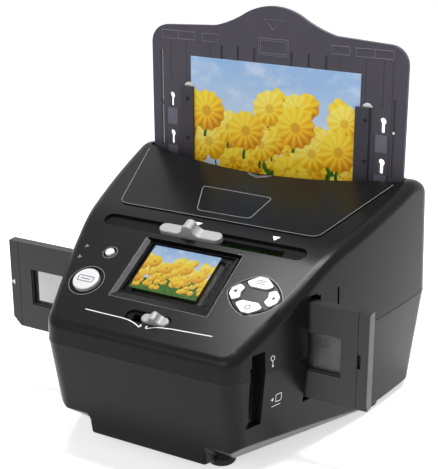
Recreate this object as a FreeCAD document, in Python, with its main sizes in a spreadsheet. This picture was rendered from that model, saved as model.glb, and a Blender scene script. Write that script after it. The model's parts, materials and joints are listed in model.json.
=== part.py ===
import FreeCAD, Part
import os
import re
import Sketcher

"""Desk-top scanner for film strips and prints.

Millimetres, +Z up, +X to the scanner's right, -Y towards the person who uses it. The origin is on the
table, under the middle of the whole outline with the film holder pushed in.
"""

# Driving dimensions, in millimetres. A name that ends in share or shares is a plain ratio.
SIZES = {
    # housing, outline in plan at the parting line
    "body_shift": 9.0,
    "body_depth": 201.0,
    "front_half": 64.5,
    "side_bow": 8.25,
    "rear_half": 109.0,
    "front_corner": 12.0,
    "rear_corner": 14.0,
    "parting_height": 71.2,
    "wall": 2.4,
    "upper_lean": 2.0,
    "overrun": 5.0,
    # housing, side profile of the top
    "panel_run": 81.9,
    "panel_break_z": 127.7,
    "panel_slope_share": 0.529,
    "crown_slope_share": 0.253,
    "blend_reach": 12.0,
    "crown_radius": 26.0,
    "top_round": 7.0,
    # raised field behind the long slot
    "field_start": 95.0,
    "field_front_inset": 37.5,
    "field_rear_inset": 35.0,
    "field_side_inset": 16.0,
    "field_step": 0.9,
    "field_corner": 5.0,
    # mouth of the photo tray
    "mouth_gap": 1.2,
    "mouth_rear_gap": 2.6,
    "mouth_side_gap": 3.3,
    "mouth_mid_gap": 21.3,
    # lower housing
    "base_height": 5.0,
    "base_front_set": 12.0,
    "base_side_set": 5.5,
    "base_rear_set": 6.0,
    "base_round": 2.0,
    "apron_inset": 23.0,
    "apron_height": 12.0,
    "apron_reach": 22.0,
    "chin_height": 29.5,
    "chin_reach": 31.0,
    "chine_inset": 29.9,
    "chine_drift_share": 0.453,
    "chine_rise_share": 0.84,
    "foot_boss_radius": 9.4,
    # feet and screws
    "foot_radius": 9.0,
    "foot_round": 2.5,
    "foot_stud_radius": 2.5,
    "foot_stud_length": 4.0,
    "front_foot_inset": 25.0,
    "front_foot_set": 34.0,
    "rear_foot_inset": 23.0,
    "rear_foot_set": 55.5,
    "front_post_inset": 33.0,
    "front_post_set": 17.0,
    "rear_post_inset": 21.0,
    "rear_post_set": 12.5,
    "post_radius": 4.5,
    "post_web": 10.0,
    "screw_radius": 1.5,
    "screw_gap": 0.15,
    "screw_head_radius": 2.9,
    "screw_head": 2.2,
    "screw_length": 18.0,
    # long slot and mode slider
    "slot_run": 78.5,
    "slot_half": 72.5,
    "slot_width": 10.8,
    "slot_depth": 2.2,
    "slot_bed": 4.6,
    "slot_bed_rim": 2.4,
    "stem_thickness": 4.0,
    "stem_gap": 0.6,
    "knob_offset": -7.5,
    "mode_travel": 55.0,
    "mode_knob_half": 22.4,
    "mode_knob_width": 8.4,
    "mode_knob_base": 1.8,
    "mode_fin_height": 8.6,
    "mode_fin_top": 3.4,
    "mode_fin_foot": 8.2,
    "mode_stem_half": 9.0,
    "fin_shoulder_share": 0.8,
    "fin_waist_share": 0.22,
    "fin_waist_height_share": 0.34,
    "fin_round": 0.8,
    "slider_gap": 0.3,
    # focus slider
    "focus_v": 18.1,
    "focus_slot_half": 15.6,
    "focus_slot_width": 9.0,
    "focus_slot_depth": 1.6,
    "focus_rest": 5.0,
    "focus_travel": 11.0,
    "focus_knob_half": 9.3,
    "focus_knob_width": 6.4,
    "focus_knob_base": 1.2,
    "focus_fin_height": 5.2,
    "focus_fin_top": 2.0,
    "focus_fin_foot": 4.8,
    "focus_stem_half": 4.5,
    "focus_arm_depth": 11.5,
    "focus_arm_plate": 2.0,
    "focus_arm_half": 6.0,
    "focus_arm_low": 14.0,
    "focus_head_half": 11.0,
    "focus_head_low": 36.0,
    "focus_head_high": 51.0,
    # display
    "recess_v": 54.0,
    "recess_half": 34.5,
    "recess_height": 50.4,
    "recess_depth": 2.0,
    "recess_pad": 4.2,
    "recess_pad_rim": 2.0,
    "bezel_v": 56.9,
    "bezel_half": 31.5,
    "bezel_height": 44.2,
    "bezel_plate": 3.2,
    "bezel_flange": 1.6,
    "bezel_flange_plate": 0.8,
    "bezel_rim": 1.6,
    "window_plate": 1.2,
    "picture_v": 55.4,
    "picture_half": 24.4,
    "picture_height": 36.6,
    "module_half": 27.0,
    "module_height": 42.0,
    "module_plate": 3.0,
    # buttons
    "scan_u": -55.3,
    "scan_v": 35.9,
    "scan_radius": 8.65,
    "scan_dish_radius": 11.4,
    "scan_crown": 1.7,
    "power_u": -52.3,
    "power_v": 60.9,
    "power_radius": 3.1,
    "power_dish_radius": 4.6,
    "power_crown": 1.2,
    "dish_depth": 0.7,
    "button_gap": 0.35,
    "button_round": 0.7,
    "button_stroke": 0.8,
    "button_flange": 1.3,
    "button_flange_plate": 0.8,
    "seat_gap": 0.3,
    # four keys in their ring
    "ring_u": 55.7,
    "ring_v": 51.1,
    "ring_half": 17.2,
    "ring_rise": 14.9,
    "ring_bulge_share": 0.6,
    "ring_groove": 0.9,
    "ring_groove_depth": 0.8,
    "key_reach_share": 0.66,
    "side_reach_share": 0.73,
    "key_height": 1.1,
    "key_round": 1.3,
    # status lenses
    "lens_u": -70.8,
    "lens_upper_v": 62.2,
    "lens_lower_v": 52.8,
    "lens_radius": 1.9,
    # key board
    "key_board_depth": 8.0,
    "board_plate": 1.6,
    "key_board_low": 24.5,
    "key_board_strip": 7.5,
    "key_board_high": 67.0,
    "key_board_low_half": 62.0,
    "key_board_high_half": 74.0,
    "key_board_left": 46.0,
    "key_board_right": 38.0,
    "board_post_radius": 2.5,
    "window_post_u": 30.0,
    "switch_side": 6.0,
    "switch_body": 2.9,
    "switch_plunger_radius": 1.6,
    # film holder
    "holder_length": 262.4,
    "holder_height": 61.9,
    "holder_bottom": 42.0,
    "holder_run": 61.0,
    "holder_thickness": 6.4,
    "holder_end": 7.2,
    "holder_corner_cut": 6.0,
    "cover_gap": 0.3,
    "holder_margin": 17.2,
    "frame_bar": 2.0,
    "frame_height": 24.0,
    "frame_bevel": 0.9,
    "film_height": 35.0,
    "film_thickness": 0.3,
    "film_play": 0.3,
    "hinge_pin_radius": 0.8,
    "hinge_pin_reach": 4.0,
    "hinge_pin_gap": 0.05,
    "finger_notch": 9.0,
    "finger_notch_depth": 2.0,
    # film gate and its spring
    "holder_gap": 0.3,
    "passage_gap": 2.5,
    "passage_head": 1.6,
    "gate_half": 34.0,
    "gate_plate": 2.0,
    "gate_front_top": 99.0,
    "gate_leg": 6.0,
    "gate_window_half": 22.0,
    "gate_window_height": 34.0,
    "gate_lintel_set": 1.6,
    "spring_half": 12.0,
    "spring_width": 3.0,
    "spring_ends": 3.0,
    "spring_plate": 0.3,
    # back light on its carriage
    "rod_radius": 2.0,
    "rod_gap": 0.05,
    "rod_fit_gap": 0.02,
    "rod_span": 62.0,
    "rod_left": 30.0,
    "rod_right": 76.0,
    "lug_thickness": 4.0,
    "lug_radius": 5.0,
    "carriage_half": 20.5,
    "carriage_thickness": 8.0,
    "carriage_height": 74.0,
    "diffuser_half": 17.5,
    "diffuser_height": 30.0,
    "diffuser_plate": 2.0,
    "diffuser_ledge": 1.5,
    # camera and lens
    "barrel_radius": 8.4,
    "barrel_set": 8.5,
    "barrel_length": 21.5,
    "barrel_gap": 0.05,
    "barrel_glass_radius": 5.0,
    "barrel_glass_depth": 3.0,
    "lens_pin_radius": 1.5,
    "lens_pin_set": 14.5,
    "lens_pin_top": 96.0,
    "lens_pin_gap": 0.15,
    "lens_ratio_share": 0.35,
    "bracket_half": 14.0,
    "bracket_foot_set": 35.0,
    "bracket_front_set": 28.5,
    "bracket_rear_set": 20.5,
    "bracket_base": 4.0,
    "bracket_rim": 3.0,
    "camera_board_bottom": 56.0,
    "camera_board_top": 79.5,
    "sensor_side": 8.0,
    "sensor_plate": 0.8,
    # main board with its sockets
    "main_board_set": 39.5,
    "main_board_inset": 14.5,
    "main_board_gap": 4.5,
    "main_board_bottom": 22.0,
    "main_board_top": 86.0,
    "main_board_notch_half": 26.0,
    "main_board_notch_drop": 12.0,
    "board_rib": 6.0,
    "chip_side": 14.0,
    "chip_plate": 1.4,
    "recess_front_set": 7.6,
    "recess_rear_set": 3.4,
    "recess_bottom": 38.0,
    "recess_top": 85.0,
    "recess_reach": 2.0,
    "recess_wall": 2.0,
    "socket_gap": 0.2,
    "socket_web": 1.0,
    "usb_length": 9.4,
    "usb_width": 7.7,
    "usb_thickness": 3.9,
    "usb_height": 78.2,
    "usb_shell": 0.5,
    "card_length": 28.0,
    "card_width": 26.0,
    "card_thickness": 3.4,
    "card_height": 54.0,
    "card_slot": 2.3,
    "side_slit_set": 7.5,
    "side_slit_width": 1.6,
    # photo tray
    "tray_inset": 14.0,
    "tray_set": 26.5,
    "tray_plate": 3.0,
    "tray_bottom": 30.0,
    "tray_shoulder": 236.8,
    "tray_crown": 239.0,
    "tray_grip_top": 254.9,
    "tray_grip_half": 45.0,
    "tray_grip_turn": 23.5,
    "tray_grip_turn_z": 247.6,
    "tray_corner": 13.0,
    "quarter_share": 0.2929,
    "tray_grip_dip": 34.6,
    "tray_grip_dip_z": 242.3,
    "tray_groove_top": 202.0,
    "tray_slit_inset": 7.4,
    "tray_slit_width": 2.0,
    "tray_slit_top": 219.0,
    "tray_slit_bottom": 150.0,
    "tray_slit_bridge": 180.8,
    "tray_slit_bridge_height": 2.6,
    "tray_groove": 0.8,
    "keyhole_inset": 15.4,
    "keyhole_radius": 2.4,
    "keyhole_slot_radius": 1.5,
    "keyhole_drop": 5.6,
    "keyhole_high": 187.2,
    "keyhole_low": 159.8,
    "gauge_first": 13.9,
    "gauge_pitch": 12.5,
    "gauge_width": 1.8,
    "gauge_top": 226.0,
    # photo guides and print
    "print_width": 127.0,
    "print_height": 178.0,
    "print_top": 216.6,
    "print_plate": 0.4,
    "guide_inner": 61.0,
    "guide_outer": 70.8,
    "guide_top": 195.4,
    "guide_bottom": 36.0,
    "guide_plate": 2.5,
    "guide_cut": 5.0,
    "guide_lap": 0.3,
    "guide_pin": 67.4,
    "guide_pin_head": 2.0,
    "guide_pin_proud": 0.6,
    # tray channels
    "channel_reach": 2.6,
    "channel_web": 1.5,
    "channel_top": 138.0,
    "tray_gap": 0.3,
    # lights for prints
    "light_inset": 32.0,
    "light_set": 32.0,
    "light_foot": 8.0,
    "light_width": 12.0,
    "light_top": 110.0,
    "light_step": 14.0,
    "light_emitter": 3.0,
    "light_emitter_proud": 1.2,
}

# Values worked out from the driving dimensions, as formulas of the sheet.
DERIVED = {
    "half_depth": "body_depth / 2",
    "waist_half": "(front_half + rear_half) / 2 + side_bow",
    "panel_break_y": "panel_run - half_depth",
    "slot_y": "slot_run - half_depth",
    "field_front": "field_start - half_depth",
    "field_front_half": "rear_half - field_front_inset",
    "field_rear": "half_depth - field_rear_inset",
    "field_rear_half": "rear_half - field_side_inset",
    "apron_half": "front_half - apron_inset",
    "chine_toe": "front_half - chine_inset",
    "front_foot_x": "front_half - front_foot_inset",
    "front_foot_y": "front_foot_set - half_depth",
    "rear_foot_x": "rear_half - rear_foot_inset",
    "rear_foot_y": "half_depth - rear_foot_set",
    "front_post_x": "waist_half - front_post_inset",
    "front_post_y": "slot_y + front_post_set",
    "rear_post_x": "rear_half - rear_post_inset",
    "rear_post_y": "half_depth - rear_post_set",
    "tray_half": "rear_half - tray_inset",
    "tray_front": "half_depth - tray_set",
    "tray_rear": "tray_front + tray_plate",
    "tray_slit": "tray_half - tray_slit_inset",
    "keyhole": "tray_half - keyhole_inset",
    "mouth_half": "tray_half + mouth_gap",
    "mouth_rear": "tray_rear + mouth_rear_gap",
    "mouth_side_lip": "tray_front - mouth_side_gap",
    "mouth_mid_lip": "tray_front - mouth_mid_gap",
    "holder_front": "holder_run - half_depth",
    "frame_pitch": "(holder_length - holder_margin * 2) / 6",
    "frame_width": "frame_pitch - frame_bar",
    "gate_lintel_front": "holder_front + gate_lintel_set",
    "barrel_rear": "holder_front - barrel_set",
    "lens_pin_y": "holder_front - lens_pin_set",
    "bracket_foot": "holder_front - bracket_foot_set",
    "bracket_front": "holder_front - bracket_front_set",
    "bracket_rear": "holder_front - bracket_rear_set",
    "main_board_y": "holder_front - main_board_set",
    "main_board_left": "front_half - main_board_inset",
    "main_board_right": "front_half - main_board_gap",
    "recess_front": "main_board_y - recess_front_set",
    "recess_rear": "main_board_y + recess_rear_set",
    "recess_floor": "front_half + recess_reach",
    "side_slit_y": "slot_y + side_slit_set",
    "light_x": "rear_half - light_inset",
    "light_y": "slot_y + light_set",
    "bow_x": "(2 * waist_half ^ 2 - front_half ^ 2 - rear_half ^ 2 - 2 * half_depth ^ 2) / (4 * side_bow)",
    "bow_y": "(rear_half ^ 2 - front_half ^ 2 - 2 * bow_x * (rear_half - front_half)) / (4 * half_depth)",
    "bow_radius": "sqrt((waist_half - bow_x) ^ 2 + bow_y ^ 2)",
    "panel_cos_share": "1 / sqrt(1 + panel_slope_share * panel_slope_share)",
    "panel_sin_share": "panel_slope_share * panel_cos_share",
    "crown_cos_share": "1 / sqrt(1 + crown_slope_share * crown_slope_share)",
    "crown_sin_share": "crown_slope_share * crown_cos_share",
    "slot_slope_share": "(panel_slope_share + crown_slope_share) / 2",
    "slot_cos_share": "1 / sqrt(1 + slot_slope_share * slot_slope_share)",
    "slot_sin_share": "slot_slope_share * slot_cos_share",
    "crown_mid_share": "sqrt((1 - crown_sin_share) ^ 2 + crown_cos_share ^ 2)",
    "crown_mid_y_share": "(1 - crown_sin_share) / crown_mid_share",
    "crown_mid_z_share": "crown_cos_share / crown_mid_share",
    "panel_foot_y": "-half_depth",
    "panel_foot_z": "panel_break_z - panel_slope_share * (panel_break_y + half_depth)",
    "blend_low_y": "panel_break_y - blend_reach * panel_cos_share",
    "blend_low_z": "panel_break_z - blend_reach * panel_sin_share",
    "blend_high_y": "panel_break_y + blend_reach * crown_cos_share",
    "blend_high_z": "panel_break_z + blend_reach * crown_sin_share",
    "blend_mid_y": "(blend_low_y + blend_high_y + 2 * panel_break_y) / 4",
    "blend_mid_z": "(blend_low_z + blend_high_z + 2 * panel_break_z) / 4",
    "crown_y": "half_depth - crown_radius",
    "crown_rise": "crown_slope_share * (crown_y - panel_break_y)",
    "crown_z": "panel_break_z + crown_rise - crown_radius / crown_cos_share",
    "slot_z": "blend_mid_z - (blend_mid_y - slot_y) * slot_slope_share",
    "floor_height": "base_height + wall",
    "post_seat": "parting_height - post_web",
    "holder_rear": "holder_front + holder_thickness",
    "holder_top": "holder_bottom + holder_height",
    "axis_height": "holder_bottom + holder_height / 2",
    "cover_half": "holder_length / 2 - holder_end",
    "cover_rear": "holder_front + holder_thickness / 2",
    "gate_front": "holder_front - holder_gap - gate_plate",
    "gate_rear": "holder_rear + holder_gap + gate_plate",
    "gate_top": "holder_top + holder_gap + gate_plate",
    "carriage_front": "slot_y - carriage_thickness / 2",
    "carriage_top": "axis_height + carriage_height / 2",
    "cap_under": "-wall - seat_gap",
    "flange_under": "cap_under - button_flange_plate",
    "mode_seat": "-slot_depth + slider_gap",
    "focus_seat": "-focus_slot_depth + slider_gap",
    "lens_stretch_share": "sqrt(1 + lens_ratio_share ^ 2)",
    "lens_travel": "focus_travel * lens_ratio_share",
    "chin_fall_share": "(chin_height - base_height) / chin_reach",
    "apron_fall_share": "(apron_height - base_height) / apron_reach",
    "chine_stretch_share": "sqrt(1 + chine_rise_share ^ 2 * (1 + chine_drift_share ^ 2))",
    "passage_front": "holder_front - passage_gap",
    "passage_rear": "holder_rear + passage_gap",
    "passage_bottom": "holder_bottom - passage_gap",
    "passage_top": "holder_top + passage_gap",
    "gate_bottom": "holder_bottom - holder_gap - gate_plate",
    "carriage_bottom": "axis_height - carriage_height / 2",
    "carriage_rear": "slot_y + carriage_thickness / 2",
    "rod_low": "axis_height - rod_span / 2",
    "rod_high": "axis_height + rod_span / 2",
    "plunger_top": "flange_under - button_stroke - slider_gap / 3",
    "switch_top": "-key_board_depth + switch_body",
    "bezel_top": "-recess_depth - slider_gap",
    "bezel_under": "bezel_top - bezel_plate",
    "module_top": "bezel_under - seat_gap",
    "socket_y": "main_board_y",
    "sky": "crown_z + crown_radius",
}

# Corners of the keys, as shares of the ring's half width and half height.
UPPER_KEY_SHARES = (
    (-0.30, 0.37), (0.30, 0.37), (0.53, 0.57), (0.15, 0.93), (-0.15, 0.93), (-0.53, 0.57))
SIDE_KEY_SHARES = (
    (0.46, 0.27), (0.53, 0.0), (0.46, -0.27), (0.70, -0.45), (0.92, -0.17), (0.92, 0.12), (0.70, 0.40))

FRAMES = {
    "panel": ("panel_foot_y", "panel_foot_z", "panel_slope_share", "panel_cos_share", "panel_sin_share"),
    "slot": ("slot_y", "slot_z", "slot_slope_share", "slot_cos_share", "slot_sin_share"),
}

FLAT = FreeCAD.Vector(0, 0, 1)
SIDEWAYS = FreeCAD.Vector(1, 0, 0)
ACROSS = FreeCAD.Vector(0, 1, 0)

doc = FreeCAD.newDocument("FilmScanner")
sheet = doc.addObject("Spreadsheet::Sheet", "Sizes")
nodes = []


def fill_sheet():
    """Writes every size, and then every formula, to the sheet under its own name."""
    row = 0
    for name, value in SIZES.items():
        row += 1
        sheet.set(f"A{row}", name)
        sheet.set(f"B{row}", str(value))
        sheet.setAlias(f"B{row}", name)
    for name, formula in DERIVED.items():
        row += 1
        sheet.set(f"A{row}", name)
        sheet.set(f"B{row}", "=" + formula)
        sheet.setAlias(f"B{row}", name)
    doc.recompute()


def sized(text):
    """The formula with each size's name pointed at the sheet."""
    known = {**SIZES, **DERIVED}
    return re.sub(r"[a-z_]+", lambda word: "Sizes." * (word.group() in known) + word.group(), str(text))


def worth(text):
    """The formula's present value."""
    return float(sheet.evalExpression(sized(text)))


def bind(thing, **formulas):
    """Ties properties to formulas; a double underscore stands for a dot in a property's path."""
    for path, formula in formulas.items():
        thing.setExpression(path.replace("__", "."), sized(formula))
    return thing


def box(label, x, y, z):
    """Block between two formulas along each axis."""
    block = doc.addObject("Part::Box", label)
    bind(block, Length=f"({x[1]}) - ({x[0]})", Width=f"({y[1]}) - ({y[0]})", Height=f"({z[1]}) - ({z[0]})")
    return bind(block, Placement__Base__x=x[0], Placement__Base__y=y[0], Placement__Base__z=z[0])


def rod(label, radius, start, length, along=FLAT):
    """Round bar from a start point along an axis."""
    bar = doc.addObject("Part::Cylinder", label)
    bar.Placement.Rotation = FreeCAD.Rotation(FLAT, along)
    bind(bar, Radius=radius, Height=length)
    return bind(bar, Placement__Base__x=start[0], Placement__Base__y=start[1], Placement__Base__z=start[2])


def lean(thing, frame, u, v, w):
    """Turns a piece made flat into a sloping frame: u along X, v up the slope and w square to it."""
    foot_y, foot_z, slope, cos, sin = FRAMES[frame]
    thing.Placement.Rotation = FreeCAD.Rotation(SIDEWAYS, 1)
    bind(thing, Placement__Rotation__Angle=f"atan({slope})")
    bind(thing, Placement__Base__x=u)
    bind(thing, Placement__Base__y=f"{foot_y} + ({v}) * {cos} - ({w}) * {sin}")
    return bind(thing, Placement__Base__z=f"{foot_z} + ({v}) * {sin} + ({w}) * {cos}")


def leaning_box(label, frame, u, v, w):
    """Block between two formulas along each axis of a sloping frame."""
    block = doc.addObject("Part::Box", label)
    bind(block, Length=f"({u[1]}) - ({u[0]})", Width=f"({v[1]}) - ({v[0]})", Height=f"({w[1]}) - ({w[0]})")
    return lean(block, frame, u[0], v[0], w[0])


def leaning_rod(label, frame, radius, u, v, w, length):
    """Round bar square to a sloping frame."""
    bar = doc.addObject("Part::Cylinder", label)
    bind(bar, Radius=radius, Height=length)
    return lean(bar, frame, u, v, w)


def fuse(label, pieces):
    """One solid of several."""
    joined = doc.addObject("Part::MultiFuse", label)
    joined.Shapes = pieces
    joined.Refine = True
    return joined


def common(label, pieces):
    """What several solids share."""
    shared = doc.addObject("Part::MultiCommon", label)
    shared.Shapes = pieces
    return shared


def cut(label, base, tools):
    """A solid less its cuts."""
    rest = doc.addObject("Part::Cut", label)
    rest.Base = base
    rest.Tool = tools[0] if len(tools) == 1 else fuse(label + "_cuts", tools)
    return rest


def mirrored(piece):
    """The piece's twin on the other side of the middle plane."""
    twin = doc.addObject("Part::Mirroring", piece.Name + "_twin")
    twin.Source = piece
    twin.Normal = SIDEWAYS
    return twin


def body(label):
    """Empty body of a sketched piece."""
    return doc.addObject("PartDesign::Body", label)


def last(piece):
    """The newest feature of a body."""
    return piece.Group[-1]


def draw(piece, plane, path, lift="0"):
    """Sketch of one closed outline on one of the body's own planes.

    The path lists corners as pairs of formulas. A corner that starts with the word via is a point that
    the arc between its neighbours passes through.
    """
    sketch = piece.newObject("Sketcher::SketchObject", piece.Name + "_outline")
    planes = [feature for feature in piece.Origin.OriginFeatures if feature.Role == plane]
    sketch.AttachmentSupport = [(planes[0], "")]
    sketch.MapMode = "FlatFace"
    bind(sketch, AttachmentOffset__Base__z=lift)
    corners = [place for place in path if place[0] != "via"]
    ends = []
    number = 0
    for place, corner in enumerate(path):
        if corner[0] == "via":
            continue
        following = path[(place + 1) % len(path)]
        begin = FreeCAD.Vector(worth(corner[0]), worth(corner[1]), 0)
        finish_corner = corners[(number + 1) % len(corners)]
        finish = FreeCAD.Vector(worth(finish_corner[0]), worth(finish_corner[1]), 0)
        if following[0] == "via":
            through = FreeCAD.Vector(worth(following[1]), worth(following[2]), 0)
            ends.append(add_arc(sketch, begin, through, finish, following))
        else:
            edge = sketch.addGeometry(Part.LineSegment(begin, finish), False)
            ends.append((edge, 1, 2))
        number += 1
    for number, (edge, start, stop) in enumerate(ends):
        next_edge, next_start, next_stop = ends[(number + 1) % len(ends)]
        sketch.addConstraint(Sketcher.Constraint("Coincident", edge, stop, next_edge, next_start))
        pin_point(sketch, edge, start, corners[number])
    return sketch


def add_arc(sketch, begin, through, finish, via):
    """Arc through three points, held by a construction point; gives its index and its two ends."""
    circle = Part.Circle(begin, through, finish)
    upright = Part.Circle(circle.Center, FLAT, circle.Radius)
    turn = (through - begin).cross(finish - through).z
    first, second = (begin, finish) if turn > 0 else (finish, begin)
    edge = sketch.addGeometry(Part.ArcOfCircle(upright, upright.parameter(first), upright.parameter(second)),
        False)
    point = sketch.addGeometry(Part.Point(through), True)
    sketch.addConstraint(Sketcher.Constraint("PointOnObject", point, 1, edge))
    pin_point(sketch, point, 1, via[1:])
    return (edge, 1, 2) if turn > 0 else (edge, 2, 1)


def pin_point(sketch, edge, end, corner):
    """Holds one point of the sketch at two formulas."""
    for kind, formula in zip(("DistanceX", "DistanceY"), corner):
        rule = sketch.addConstraint(Sketcher.Constraint(kind, -1, 1, edge, end, worth(formula)))
        sketch.setExpression(f"Constraints[{rule}]", sized(formula))


def pad(piece, sketch, length, back="0", reverse=False):
    """Adds the outline's prism, from back below its plane to length above it."""
    feature = piece.newObject("PartDesign::Pad", piece.Name + "_pad")
    feature.Profile = sketch
    feature.Reversed = reverse
    bind(feature, Length=length)
    if back != "0":
        feature.SideType = "Two sides"
        bind(feature, Length2=back)
    return feature


def pocket(piece, sketch, length, back="0", reverse=False):
    """Takes the outline's prism away."""
    feature = piece.newObject("PartDesign::Pocket", piece.Name + "_pocket")
    feature.Profile = sketch
    feature.Reversed = reverse
    bind(feature, Length=length)
    if back != "0":
        feature.SideType = "Two sides"
        bind(feature, Length2=back)
    return feature


def round_edges(piece, radius, wanted, kind="PartDesign::Fillet"):
    """Rounds the newest feature's edges that the test picks."""
    doc.recompute()
    base = last(piece)
    names = [f"Edge{number + 1}" for number, edge in enumerate(base.Shape.Edges) if wanted(edge)]
    feature = piece.newObject(kind, piece.Name + "_round")
    feature.Base = (base, names)
    bind(feature, **{"Radius" if kind.endswith("Fillet") else "Size": radius})
    return feature


def upright(edge):
    """Whether an edge climbs more than it runs."""
    span = edge.BoundBox
    return span.ZLength > span.XLength and span.ZLength > span.YLength


def along_y(edge):
    """Whether a straight edge lies along Y."""
    span = edge.BoundBox
    return span.YLength > span.XLength and span.YLength > span.ZLength


def above(height):
    """Test for edges that lie over a height."""
    return lambda edge: edge.BoundBox.ZMin > worth(height)


def below(height):
    """Test for edges that lie under a height."""
    return lambda edge: edge.BoundBox.ZMax < worth(height)


def node(label, piece, shift="body_shift"):
    """Sets a finished sub-part in its place under its own name."""
    placed = doc.addObject("Part::Compound", label)
    placed.Label = label
    placed.Links = piece if isinstance(piece, list) else [piece]
    bind(placed, Placement__Base__x=shift)
    nodes.append(placed)
    return placed


def corner(way, size, set_back, inset, bow):
    """Three points of the round corner between the bowed side and the straight front or rear.

    The point on the front or rear comes first, with way -1 or 1. The side's arc has the radius bow.
    """
    y = f"({way} * (half_depth - {set_back} - {size}))"
    arm = f"({bow} - {size})"
    rise = f"({y} - bow_y)"
    run = f"sqrt({arm} ^ 2 - {rise} ^ 2)"
    bend = f"({size} - {inset})"
    middle = f"sqrt(2 + 2 * {way} * {rise} / {arm})"
    reach = f"({bow} - {inset}) / {arm}"
    return [
        (f"bow_x + {run}", f"{way} * (half_depth - {set_back} - {inset})"),
        ("via", f"bow_x + {run} + {bend} * {run} / {arm} / {middle}",
         f"{y} + {bend} * ({rise} / {arm} + {way}) / {middle}"),
        (f"bow_x + {run} * {reach}", f"bow_y + {rise} * {reach}"),
    ]


def plan(inset, side_set, front_set, rear_set):
    """Outline of the housing in plan: straight front and rear, bowed sides, round corners."""
    bow = f"(bow_radius - {side_set})"
    front = corner(-1, "front_corner", front_set, inset, bow)
    rear = corner(1, "rear_corner", rear_set, inset, bow)
    right = [*front, ("via", f"bow_x + sqrt(({bow} - {inset}) ^ 2 - bow_y ^ 2)", "0"), *reversed(rear)]
    left = [(*place[:-2], f"-({place[-2]})", place[-1]) for place in reversed(right)]
    return right + left


def tapered(label, inset, low, high):
    """Solid between two plans, each given as side set, front set, rear set and height."""
    piece = body(label)
    sketches = [draw(piece, "XY_Plane", plan(inset, *level[:3]), level[3]) for level in (low, high)]
    loft = piece.newObject("PartDesign::AdditiveLoft", label + "_loft")
    loft.Profile = sketches[0]
    loft.Sections = [sketches[1]]
    loft.Ruled = True
    return piece


def cap(label, inset, bottom="parting_height"):
    """Solid form of the upper housing; the inset makes its hollow."""
    top = "(crown_z + crown_radius + overrun)"
    piece = tapered(label, inset, ("0", "0", "0", bottom), ("upper_lean", "upper_lean", "upper_lean", top))
    bow = f"(crown_radius - {inset})"
    sky = [
        ("-half_depth - overrun", f"panel_foot_z - panel_slope_share * overrun - {inset} / panel_cos_share"),
        (f"blend_low_y + {inset} * panel_sin_share", f"blend_low_z - {inset} * panel_cos_share"),
        ("via", f"blend_mid_y + {inset} * slot_sin_share", f"blend_mid_z - {inset} * slot_cos_share"),
        (f"blend_high_y + {inset} * crown_sin_share", f"blend_high_z - {inset} * crown_cos_share"),
        (f"crown_y - {bow} * crown_sin_share", f"crown_z + {bow} * crown_cos_share"),
        ("via", f"crown_y + {bow} * crown_mid_y_share", f"crown_z + {bow} * crown_mid_z_share"),
        (f"crown_y + {bow}", "crown_z"),
        ("half_depth + overrun", "crown_z"),
        ("half_depth + overrun", f"{top} + overrun"),
        ("-half_depth - overrun", f"{top} + overrun"),
    ]
    pocket(piece, draw(piece, "YZ_Plane", sky), "rear_half + overrun", back="rear_half + overrun")
    return piece


def lower_form(label, inset):
    """Solid form of the lower housing; the inset makes its hollow."""
    top = "parting_height" if inset == "0" else "(parting_height + overrun)"
    piece = tapered(
        label, inset, ("base_side_set", "base_front_set", "base_rear_set", f"(base_height + {inset})"),
        ("0", "0", "0", top))
    for name, reach, height, fall, near in (
            ("apron", "apron_reach", "apron_height", "apron_fall_share", "0"),
            ("chin", "chin_reach", "chin_height", "chin_fall_share", f"(apron_half - {inset})")):
        rise = f"{inset} * sqrt(1 + {fall} ^ 2)"
        wedge = [
            ("-half_depth - overrun", f"{height} + overrun * {fall} + {rise}"),
            (f"-half_depth + {reach}", f"base_height + {rise}"),
            (f"-half_depth + {reach}", "-overrun"),
            ("-half_depth - overrun", "-overrun"),
        ]
        for side in ((1,) if near == "0" else (1, -1)):
            lift = near if side == 1 else f"-{near}"
            sketch = draw(piece, "YZ_Plane", wedge, lift)
            if near == "0":
                pocket(piece, sketch, "front_half * 2", back="front_half * 2")
            else:
                pocket(piece, sketch, "rear_half", reverse=side == 1)
    for side in ("", "-"):
        ends = []
        for lift, toe in (
                ("half_depth + overrun", "chine_toe - overrun * chine_drift_share"),
                ("-half_depth - overrun", "chine_toe + (body_depth + overrun) * chine_drift_share")):
            rise = f"base_height + {inset} * chine_stretch_share"
            wedge = [
                (f"{side}({toe} - overrun)", f"{rise} - overrun * chine_rise_share"),
                (f"{side}({toe} + rear_half)", f"{rise} + rear_half * chine_rise_share"),
                (f"{side}({toe} + rear_half)", "-overrun * 2"),
                (f"{side}({toe} - overrun)", "-overrun * 2"),
            ]
            ends.append(draw(piece, "XZ_Plane", wedge, lift))
        bite = piece.newObject("PartDesign::SubtractiveLoft", label + "_chine")
        bite.Profile = ends[0]
        bite.Sections = [ends[1]]
        bite.Ruled = True
    return piece


def offset(sketch, amount):
    """Outline grown or shrunk evenly."""
    grown = doc.addObject("Part::Offset2D", sketch.Name + "_offset")
    grown.Source = sketch
    bind(grown, Value=amount)
    return grown


def prism(outline, low, high):
    """Solid of a flat outline between two heights over its own plane."""
    solid = doc.addObject("Part::Extrusion", outline.Name + "_prism")
    solid.Base = outline
    solid.DirMode = "Custom"
    solid.Dir = FLAT
    solid.Solid = True
    return bind(solid, LengthFwd=high, LengthRev=f"-({low})")


def stadium(half, width):
    """Round-ended outline about the origin, long along X."""
    run = f"({half} - {width} / 2)"
    return [
        (f"-{run}", f"-{width} / 2"), (run, f"-{width} / 2"), ("via", half, "0"),
        (run, f"{width} / 2"), (f"-{run}", f"{width} / 2"), ("via", f"-({half})", "0"),
    ]


def flat_body(label, path, low, high, plane="XY_Plane"):
    """Prism of one outline between two heights."""
    piece = body(label)
    pad(piece, draw(piece, plane, path, low), f"({high}) - ({low})")
    return piece


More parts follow.
